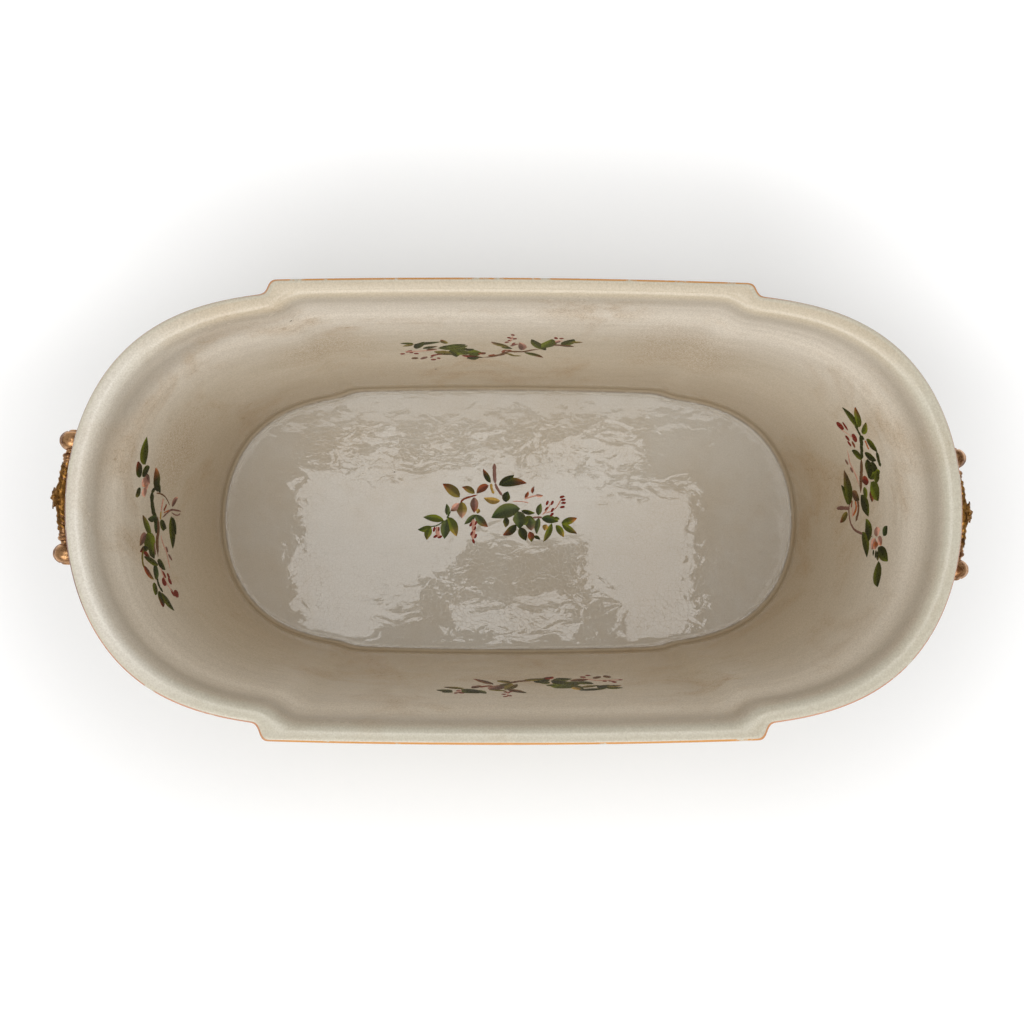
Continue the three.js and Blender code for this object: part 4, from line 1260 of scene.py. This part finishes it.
def arm(y):
    """An arm that rises from its foot and rolls over once into a scroll, creased where the roll begins."""
    rise = bezier([
        (FOOT_FACE + 2.3, FOOT_Z), (FOOT_FRONT + 9.45, FOOT_Z - 1),
        (EYE_X - 14.7, EYE_Z - SCROLL_RADIUS), (EYE_X, EYE_Z - SCROLL_RADIUS),
    ], np.linspace(0, 1, 40))
    turn = np.linspace(0, 1, 120)[1:]
    radius = SCROLL_RADIUS + (SCROLL_EYE - SCROLL_RADIUS) * turn
    angle = 2 * np.pi * turn - np.pi / 2
    roll = np.stack([EYE_X + radius * np.cos(angle), EYE_Z + radius * np.sin(angle)], axis=1)
    path = even(np.concatenate([rise, roll]), ARM_RINGS)
    middles = np.column_stack([path[:, 0], np.full(ARM_RINGS, y), path[:, 1]])

    t = np.linspace(0, 1, ARM_RINGS)
    ease = np.clip(t / 0.5, 0, 1)
    wide = ARM_HALF_WIDTH * (0.66 + 0.34 * ease * ease * (3 - 2 * ease))
    thick = (ARM_THICK + (SCROLL_THICK - ARM_THICK) * t) / 2
    crease = np.exp(-(((t - 0.66) / 0.012) ** 2))
    thick = thick * (1 - 0.22 * crease)
    wide = wide * (1 - 0.05 * crease - 0.06 * (t > 0.66))

    turn = 2 * np.pi * np.arange(ARM_SIDES) / ARM_SIDES
    cosine, sine = np.cos(turn), np.sin(turn)
    sideways = np.sign(sine) * np.abs(sine) ** 0.9
    reed = 1 - 0.10 * np.exp(-(((np.abs(sideways) - 0.55) / 0.08) ** 2))
    section = np.column_stack([np.sign(cosine) * np.abs(cosine) ** 0.85 * reed, sideways])
    verts, faces = sweep(middles, (0, -1, 0), thick, wide, section)

    reach = np.hypot(verts[:, 0] - EYE_X, verts[:, 2] - EYE_Z)
    near_eye = np.clip((12.0 - reach) / 2.0, 0, 1)
    pinch = 1 - 0.42 * near_eye * np.clip(np.abs(verts[:, 1] - y) / 7.0, 0, 1) ** 2.6
    verts[:, 0] = EYE_X + (verts[:, 0] - EYE_X) * pinch
    verts[:, 2] = EYE_Z + (verts[:, 2] - EYE_Z) * pinch
    return verts, faces


def flower_foot(y):
    """An oval foot with petals round a boss, from rings of a radius, a way out and a depth of carving."""
    turn = 2 * np.pi * np.arange(FOOT_SIDES) / FOOT_SIDES
    between_petals = 1 - (0.5 + 0.5 * np.cos(PETALS * turn))
    rings = []
    for radius, out, carve in (
        (10.6, 0.0, 0.0), (11.1, 0.15, 0.0), (11.2, 0.6, 0.1), (11.15, 1.5, 0.35), (10.6, 2.3, 0.9),
        (9.4, 3.0, 1.3), (8.0, 3.3, 1.3), (6.8, 3.3, 0.9), (6.1, 3.1, 0.3), (5.8, 3.6, 0.0),
        (5.6, 4.8, 0.0), (5.2, 6.4, 0.0), (4.2, 8.6, 0.0), (2.6, 10.0, 0.0), (1.0, 10.6, 0.0),
    ):
        r = radius * (1 - 0.05 * between_petals * (radius > 9))
        x = FOOT_FACE + out - carve * between_petals * 0.9 * (out > 0.5)
        rings.append(np.column_stack([x, y + r * np.cos(turn), FOOT_Z + OVAL * r * np.sin(turn)]))
    return closed_skin(rings)


def grip_x(y):
    """How far out the bowed grip is at a distance y from its middle."""
    t = y / FEET_SPACING + 0.5
    return EYE_X + GRIP_BOW * t * (1 - t)


def ball_profile(radius, reach, steps, flat=1.0):
    """A ball as [radius, x] pairs, up to an angle each way from its middle."""
    angles = np.radians(np.linspace(-reach, reach, steps))
    return [(radius * math.cos(a), flat * radius * math.sin(a)) for a in angles]


def along_grip(profile, sides, x, y):
    """A turned piece that lies along the grip."""
    verts, faces = turned(profile, sides)
    return np.column_stack([x - verts[:, 1], y + verts[:, 0], EYE_Z + verts[:, 2]]), faces


def casting_parts():
    """The grip, and at each end of it an arm, a foot, the scroll's eye and two beads."""
    ys = np.linspace(-FEET_SPACING / 2, FEET_SPACING / 2, 61)
    middles = np.column_stack([grip_x(ys), ys, np.full(len(ys), EYE_Z)])
    turn = 2 * np.pi * np.arange(GRIP_SIDES) / GRIP_SIDES
    radius = np.full(len(ys), GRIP_RADIUS)
    parts = [sweep(middles, (0, 0, 1), radius, radius, np.column_stack([np.cos(turn), np.sin(turn)]))]
    barrel = [
        (1.6, -7.5), (2.6, -7.3), (3.4, -6.9), (4.0, -6.1), (4.1, -5), (4.1, 0), (4.1, 5), (4.0, 6.1),
        (3.4, 6.9), (2.6, 7.3), (1.6, 7.5),
    ]
    for end in (-1, 1):
        y = end * FEET_SPACING / 2
        parts += [arm(y), flower_foot(y), along_grip(barrel, 28, EYE_X, y)]
        for place, radius in ((27.5, 4.3), (25.2, 3.5)):
            y = end * place
            parts.append(along_grip(ball_profile(radius, 82, 13, 0.6), 24, grip_x(y), y))
    return parts


# Age on bronze: brown patina in broad clouds and in small pores, for gilt and bare metal alike
patina, given, made = new_group(
    "bronze_patina",
    [
        ("Place", "NodeSocketVector", None), ("Broad", "NodeSocketFloat", 90.0),
        ("Amount", "NodeSocketFloat", 0.5),
    ],
    [("Mask", "NodeSocketFloat"), ("Grain", "NodeSocketFloat")],
)
broad = noise(patina, given.outputs["Place"], given.outputs["Broad"], 4.0, 0.65)
fine = noise(patina, given.outputs["Place"], 1400.0, 3.0, 0.6)
both = plus(patina, broad, times(patina, minus(patina, fine, 0.5), 0.35))
reach = minus(patina, 1.0, given.outputs["Amount"])
mask = node(patina, "ShaderNodeMapRange", {
    "Value": both, "From Min": minus(patina, reach, 0.10), "From Max": plus(patina, reach, 0.12),
}).outputs["Result"]
patina.links.new(mask, made.inputs["Mask"])
patina.links.new(fine, made.inputs["Grain"])


def bronze(name, bright, dark, amount, broad, smooth, rough):
    """Cast bronze under its patina, with fine pores."""
    material, tree, shader, at = new_material(name)
    age = place_group(tree, patina, {"Place": at, "Broad": broad, "Amount": amount})
    tone = noise(tree, at, 160.0, 3.0)
    shaded = (*[0.82 * value for value in bright[:3]], 1.0)
    colour = laid_over(tree, bright, shaded, ramp(tree, tone, 0.3, 0.7))
    colour = laid_over(tree, colour, dark, age.outputs["Mask"])
    tree.links.new(colour, shader.inputs["Base Color"])
    shader.inputs["Metallic"].default_value = 1.0
    share = {"Value": age.outputs["Mask"], "To Min": smooth, "To Max": rough}
    tree.links.new(node(tree, "ShaderNodeMapRange", share).outputs["Result"], shader.inputs["Roughness"])
    height = plus(tree, times(tree, age.outputs["Grain"], 0.00005), times(tree, tone, 0.00025))
    raise_surface(tree, shader, height, 0.8)
    return material


gilt = bronze("gilt_bronze", tint(200, 154, 110), tint(104, 68, 42), 0.52, 130.0, 0.28, 0.44)
cast_verts, cast_faces = joined(casting_parts())
for side in HANDLE_SHIFT:
    piece = new_piece(f"{side}_handle", at_handle(cast_verts, side), cast_faces, sharp=48)
    piece.data.materials.append(gilt)
    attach(piece, "root")
    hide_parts(f"{side}_handle_casting")


# Garlands
# A vine of small leaves, berries and a blossom, cast in bronze as a saddle over each grip, in a darker
# brown: partly patina, partly painted shade. A core carries the leaves, which stand out from the side away
# from the pot.

spread = bpy.data.node_groups.new("spread_along_grip", "GeometryNodeTree")
for label, kind, start in (
    ("Sprig part", "NodeSocketGeometry", None), ("Start", "NodeSocketVector", None),
    ("Middle", "NodeSocketVector", None), ("End", "NodeSocketVector", None),
    ("Count", "NodeSocketInt", 40), ("Reach", "NodeSocketFloat", 0.004),
    ("Fan from", "NodeSocketFloat", -0.6), ("Fan to", "NodeSocketFloat", 2.4),
    ("Sway", "NodeSocketFloat", 0.9), ("Lift", "NodeSocketFloat", 0.3),
    ("Smallest", "NodeSocketFloat", 0.7), ("Largest", "NodeSocketFloat", 1.2),
    ("Seed", "NodeSocketInt", 0), ("Finish", "NodeSocketMaterial", None),
):
    socket = spread.interface.new_socket(label, in_out="INPUT", socket_type=kind)
    if start is not None:
        socket.default_value = start
spread.interface.new_socket("Result", in_out="OUTPUT", socket_type="NodeSocketGeometry")
given = spread.nodes.new("NodeGroupInput")
made = spread.nodes.new("NodeGroupOutput")


def random_in(low, high, salt):
    """A random number for each point, fixed by the tree's seed and a salt."""
    seed = node(spread, "ShaderNodeMath", {0: given.outputs["Seed"], 1: float(salt)}, operation="ADD")
    picked = node(spread, "FunctionNodeRandomValue", {"Seed": seed.outputs[0]}, data_type="FLOAT")
    for key, value in (("Min", low), ("Max", high)):
        socket = [s for s in picked.inputs if s.name == key and s.type == "VALUE"][0]
        if isinstance(value, bpy.types.NodeSocket):
            spread.links.new(value, socket)
        else:
            socket.default_value = value
    return [s for s in picked.outputs if s.type == "VALUE"][0]


def vector_math(operation, a, b):
    """A sum or product of two vectors in the garland's tree."""
    return node(spread, "ShaderNodeVectorMath", {0: a, 1: b}, operation=operation).outputs[0]


def scaled(vector, scale):
    """A vector made longer or shorter."""
    return node(spread, "ShaderNodeVectorMath", {0: vector, "Scale": scale}, operation="SCALE").outputs[0]


# Points along the grip, each with a way out from it that fans round its far side
spine = node(spread, "GeometryNodeCurveQuadraticBezier", {
    "Resolution": 32, "Start": given.outputs["Start"], "Middle": given.outputs["Middle"],
    "End": given.outputs["End"],
})
spots = node(
    spread, "GeometryNodeCurveToPoints", {"Curve": spine.outputs[0], "Count": given.outputs["Count"]},
    mode="COUNT",
)
along = spots.outputs["Tangent"]
upright = (0.0, 0.0, 1.0)
outward = node(
    spread, "ShaderNodeVectorMath", {0: vector_math("CROSS_PRODUCT", along, upright)}, operation="NORMALIZE"
).outputs[0]
fan = random_in(given.outputs["Fan from"], given.outputs["Fan to"], 1)
radial = vector_math(
    "ADD", scaled(outward, math_node(spread, "COSINE", fan)), scaled(upright, math_node(spread, "SINE", fan))
)
moved = node(spread, "GeometryNodeSetPosition", {
    "Geometry": spots.outputs["Points"], "Offset": scaled(radial, given.outputs["Reach"]),
})

# Each part faces outward and points along the grip, swayed, lifted and turned end for end by chance
sway = times(spread, random_in(-1.0, 1.0, 2), given.outputs["Sway"])
pointing = vector_math("ADD", along, scaled(vector_math("CROSS_PRODUCT", radial, along), sway))
pointing = vector_math("ADD", pointing, scaled(radial, given.outputs["Lift"]))
pointing = scaled(pointing, math_node(spread, "SIGN", random_in(-1.0, 1.0, 3)))
turn = node(spread, "FunctionNodeAlignRotationToVector", {"Vector": radial}, axis="Z")
turn = node(
    spread, "FunctionNodeAlignRotationToVector", {"Rotation": turn.outputs[0], "Vector": pointing},
    axis="X", pivot_axis="Z",
)
placed = node(spread, "GeometryNodeInstanceOnPoints", {
    "Points": moved.outputs[0], "Instance": given.outputs["Sprig part"], "Rotation": turn.outputs[0],
    "Scale": random_in(given.outputs["Smallest"], given.outputs["Largest"], 4),
})
real = node(spread, "GeometryNodeRealizeInstances", {"Geometry": placed.outputs[0]})
painted = node(spread, "GeometryNodeSetMaterial", {
    "Geometry": real.outputs[0], "Material": given.outputs["Finish"],
})
spread.links.new(painted.outputs[0], made.inputs[0])


def spread_parts(name, mesh_parts, values):
    """Runs the tree on a small mesh and returns the vertices and faces that it makes, in mm."""
    carrier = new_piece(name, *mesh_parts)
    modifier = carrier.modifiers.new("spread", "NODES")
    modifier.node_group = spread
    for item in spread.interface.items_tree:
        if item.in_out == "INPUT" and item.name in values:
            modifier[item.identifier] = values[item.name]
    mesh = bpy.data.meshes.new_from_object(carrier.evaluated_get(bpy.context.evaluated_depsgraph_get()))
    verts = np.array([v.co for v in mesh.vertices]) / MM
    faces = [tuple(p.vertices) for p in mesh.polygons]
    bpy.data.objects.remove(carrier)
    return verts, faces


def leaf_part(length, width, thick):
    """A small cast leaf lying along +X with its face to +Z: cupped, ribbed and pointed."""
    s = np.array([-1, -0.55, 0, 0.55, 1])
    rows = []
    for k in np.linspace(0.02, 0.98, 8):
        y = s * width / 2 * math.sin(math.pi * k**0.8) ** 0.8
        z = thick * (0.5 + 0.7 * math.sin(math.pi * k)) * (1 - 0.55 * np.abs(s) ** 1.5)
        z = z + 0.25 * length * (k - 0.5) ** 2 - 0.30 * thick * np.exp(-((s / 0.3) ** 2))
        top = np.column_stack([np.full(5, k * length), y, z])
        under = top[1:-1][::-1] - [0, 0, thick * 1.1]
        rows.append(np.concatenate([top, under]))
    return np.concatenate(rows), tube_faces(len(rows), len(rows[0]))


def berry_part(radius):
    """A small cast berry lying along +X."""
    return turned(ball_profile(radius, 70, 6), 9)


def garland_radius(y):
    """Thin round the grip, with a bulge in the middle."""
    share = np.minimum(np.abs(y) / 9.5, 1)
    return 3.35 + 3.0 * (1 + np.cos(np.pi * share)) / 2


def garland_core():
    """The vine's stem: two strands twisted together, lost under the leaves of the bulge."""
    ys = np.linspace(-22.4, 22.4, 121)
    sides = 24
    turn = 2 * np.pi * np.arange(sides) / sides
    strands = np.clip((np.abs(ys) - 7) / 5, 0, 1)
    rings = []
    for y, twisted in zip(ys, strands):
        radius = garland_radius(y) * (1 - 0.10 * twisted + 0.13 * twisted * np.cos(2 * turn + 1.5 * y))
        rings.append(np.column_stack([
            grip_x(y) + 0.3 + radius * np.cos(turn), np.full(sides, y), EYE_Z - radius * np.sin(turn),
        ]))
    return closed_skin(rings)


def blossom_parts():
    """Five petals round a heart, on the bulge's upper side away from the pot."""
    facing = np.array([0.55, 0, 0.83]) / np.hypot(0.55, 0.83)
    middle = np.array([grip_x(0), 0, EYE_Z]) + facing * 5.6
    square = np.cross(facing, [0, 1, 0])
    parts = []
    for i in range(5):
        turn = 2 * math.pi * i / 5
        way = np.array([0, 1, 0]) * math.cos(turn) + square * math.sin(turn)
        petal, petal_faces = leaf_part(4.6, 3.8, 0.5)
        petal = middle + petal @ np.array([way, np.cross(facing, way), facing])
        parts.append((petal, petal_faces))
    ball, ball_faces = berry_part(1.5)
    parts.append((ball + middle + facing * 0.8, ball_faces))
    return parts


def bow(side, reach):
    """The curve along the grip, reach mm each way from its middle, as the tree takes it."""
    middle_x = 2 * grip_x(0) - grip_x(reach)
    spots = [[grip_x(reach), -reach, EYE_Z], [middle_x, 0, EYE_Z], [grip_x(reach), reach, EYE_Z]]
    return dict(zip(("Start", "Middle", "End"), [tuple(spot) for spot in at_handle(spots, side) * MM]))


# Darker bronze for the garlands: partly patina, partly painted shade.
aged_and_shaded = bronze("aged_bronze", tint(150, 108, 54), tint(78, 50, 22), 0.42, 160.0, 0.34, 0.55)
for side in HANDLE_SHIFT:
    long_leaves = spread_parts("vine_leaves", leaf_part(3.8, 2.8, 0.6), {
        **bow(side, 6), "Finish": aged_and_shaded, "Count": 32, "Reach": 5.5 * MM, "Fan from": -1.1, "Fan to": 2.0,
        "Sway": 0.6, "Lift": 0.0, "Smallest": 0.7, "Largest": 0.95, "Seed": 11,
    })
    small_leaves = spread_parts("vine_buds", leaf_part(3.2, 1.9, 0.5), {
        **bow(side, 22), "Finish": aged_and_shaded, "Count": 44, "Reach": 3.0 * MM, "Fan from": -1.2, "Fan to": 2.2,
        "Sway": 0.5, "Lift": 0.05, "Smallest": 0.6, "Largest": 1.0, "Seed": 23,
    })
    berries_set = spread_parts("vine_berries", berry_part(1.0), {
        **bow(side, 6), "Finish": aged_and_shaded, "Count": 12, "Reach": 5.0 * MM, "Fan from": -0.9, "Fan to": 1.6,
        "Sway": 0.4, "Lift": 0.0, "Smallest": 0.7, "Largest": 1.2, "Seed": 37,
    })
    core = joined([garland_core(), *blossom_parts()])
    parts = [(at_handle(core[0], side), core[1]), long_leaves, small_leaves, berries_set]
    piece = new_piece(f"{side}_garland_vine", *joined(parts), sharp=60)
    piece.data.materials.append(aged_and_shaded)
    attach(piece, "root")
    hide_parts(f"{side}_garland")


# Studs, cement and pins
# Brass studs screwed into the handles' feet and bedded in cement in the pot's sockets, and brass
# pins that rivet each garland to its grip. Only the pins' ends show.

brass = bronze("turned_brass", tint(196, 160, 98), tint(112, 84, 44), 0.40, 200.0, 0.24, 0.45)
cement, tree, shader, at = new_material("setting_cement")
grit = noise(tree, at, 900.0, 5.0, 0.7)
colour = blend_colours(tree, ramp(tree, grit, 0.35, 0.7), tint(150, 144, 132), tint(196, 190, 176))
blotches = ramp(tree, noise(tree, at, 120.0, 3.0), 0.5, 0.75, 0.0, 0.4)
colour = laid_over(tree, colour, tint(140, 124, 100), blotches)
tree.links.new(colour, shader.inputs["Base Color"])
tree.links.new(ramp(tree, grit, 0.2, 0.8, 0.78, 0.95), shader.inputs["Roughness"])
raise_surface(tree, shader, times(tree, grit, 0.0002))

for name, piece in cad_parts.items():
    finish = {"stud": brass, "pin": brass, "cement": cement}.get(name.split("_")[-1])
    if finish:
        piece.data.materials.clear()
        piece.data.materials.append(finish)


# Floor, light and air round the pot
# A pale studio floor with a broad soft light over the pot, broken up as a studio ceiling is, and a
# soft key from the front left that lays the shadow to the back and right.

FLOOR_SIZE = 6.0
FLOOR_LEVEL = -0.2
SIDE_POINTS = 9
grid = np.linspace(-FLOOR_SIZE / 2, FLOOR_SIZE / 2, SIDE_POINTS) / MM
floor_verts = [(x, y, FLOOR_LEVEL) for y in grid for x in grid]
corners = [row * SIDE_POINTS + column for row in range(SIDE_POINTS - 1) for column in range(SIDE_POINTS - 1)]
floor_faces = [(c, c + 1, c + 1 + SIDE_POINTS, c + SIDE_POINTS) for c in corners]
studio_floor = new_piece("studio_floor", floor_verts, floor_faces)
paper = bpy.data.materials.new("pale_paper")
paper.use_nodes = True
tree = paper.node_tree
tree.nodes.clear()
output = tree.nodes.new("ShaderNodeOutputMaterial")
matte = node(tree, "ShaderNodeBsdfDiffuse", {"Color": (0.86, 0.86, 0.86, 1.0)})
place = node(tree, "ShaderNodeSeparateXYZ", {0: tree.nodes.new("ShaderNodeTexCoord").outputs["Object"]})
# Painted shadow and light: the glow that the camera sees is weaker near the pot, and stronger farther off and
# behind it.
sideways = math_node(tree, "ABSOLUTE", place.outputs[0])
past_end = math_node(tree, "MAXIMUM", minus(tree, sideways, 0.19), 0.0)
away = plus(tree, times(tree, past_end, past_end), times(tree, place.outputs[1], place.outputs[1]))
away = math_node(tree, "SQRT", away)
back_painted_light = ramp(tree, place.outputs[1], 0.10, 0.22, 0.0, 0.10)
bright = plus(tree, ramp(tree, away, 0.18, 0.36, 0.10, 0.36), back_painted_light)
glow = node(tree, "ShaderNodeEmission", {"Color": (1.0, 1.0, 1.0, 1.0), "Strength": bright})
both = node(tree, "ShaderNodeAddShader", {0: matte.outputs[0], 1: glow.outputs[0]})
ray = tree.nodes.new("ShaderNodeLightPath")
seen = math_node(tree, "MAXIMUM", ray.outputs["Is Camera Ray"], ray.outputs["Is Glossy Ray"])
seen = math_node(tree, "MAXIMUM", seen, ray.outputs["Is Transmission Ray"])
pick = node(tree, "ShaderNodeMixShader", {0: seen, 1: matte.outputs[0], 2: both.outputs[0]})
tree.links.new(pick.outputs[0], output.inputs[0])
studio_floor.data.materials.append(paper)

world = bpy.data.worlds.new("studio_air")
bpy.context.scene.world = world
world.use_nodes = True
tree = world.node_tree
tree.nodes.clear()
output = tree.nodes.new("ShaderNodeOutputWorld")
ray = tree.nodes.new("ShaderNodeLightPath")
dim = node(tree, "ShaderNodeBackground", {"Color": (1.0, 0.995, 0.985, 1.0), "Strength": 0.52})
white = node(tree, "ShaderNodeBackground", {"Color": (1.0, 1.0, 1.0, 1.0), "Strength": 1.0})
to_camera = ray.outputs["Is Camera Ray"]
pick = node(tree, "ShaderNodeMixShader", {0: to_camera, 1: dim.outputs[0], 2: white.outputs[0]})
tree.links.new(pick.outputs[0], output.inputs[0])


def soft_light(name, place, aim, wide, deep, radiance):
    """A rectangular soft light of even brightness."""
    lamp = bpy.data.lights.new(name, "AREA")
    lamp.shape = "RECTANGLE"
    lamp.size = wide
    lamp.size_y = deep
    lamp.energy = radiance * math.pi * wide * deep
    light = bpy.data.objects.new(name, lamp)
    bpy.context.scene.collection.objects.link(light)
    light.location = place
    light.rotation_mode = "QUATERNION"
    light.rotation_quaternion = (Vector(aim) - Vector(place)).to_track_quat("-Z", "Y")
    light.visible_camera = False


# The ceiling's bright patches, each from x to x and from y to y, with how bright it is
CEILING = 1.15
for name, x0, x1, y0, y1, radiance in (
    ("ceiling_left", -0.345, -0.212, -0.19, 0.122, 2.9),
    ("ceiling_left_inner", -0.212, -0.132, -0.13, 0.122, 2.9),
    ("ceiling_left_middle", -0.132, -0.062, -0.075, 0.122, 2.9),
    ("ceiling_middle", -0.062, 0.158, -0.005, 0.12, 2.9),
    ("ceiling_right_inner", 0.158, 0.220, -0.11, 0.106, 2.9),
    ("ceiling_right", 0.220, 0.355, -0.19, 0.094, 2.9),
    ("ceiling_front", -0.083, 0.149, -0.175, -0.11, 2.9),
    ("ceiling_gap_left", -0.283, -0.165, 0.132, 0.168, 2.9),
    ("ceiling_gap_small", -0.130, -0.072, 0.159, 0.177, 2.9),
    ("ceiling_gap_middle", -0.042, 0.046, 0.13, 0.167, 2.9),
    ("ceiling_gap_right", 0.064, 0.265, 0.13, 0.177, 2.9),
    ("ceiling_back", -0.40, 0.40, 0.213, 0.36, 1.9),
):
    middle = ((x0 + x1) / 2, (y0 + y1) / 2, CEILING)
    soft_light(name, middle, (middle[0], middle[1] + 0.0001, 0), x1 - x0, y1 - y0, radiance)
soft_light("key", (-0.35, -2.8, 2.95), (0, 0, 0.1), 3.4, 2.4, 3.1)

bpy.context.scene.view_settings.view_transform = "Standard"
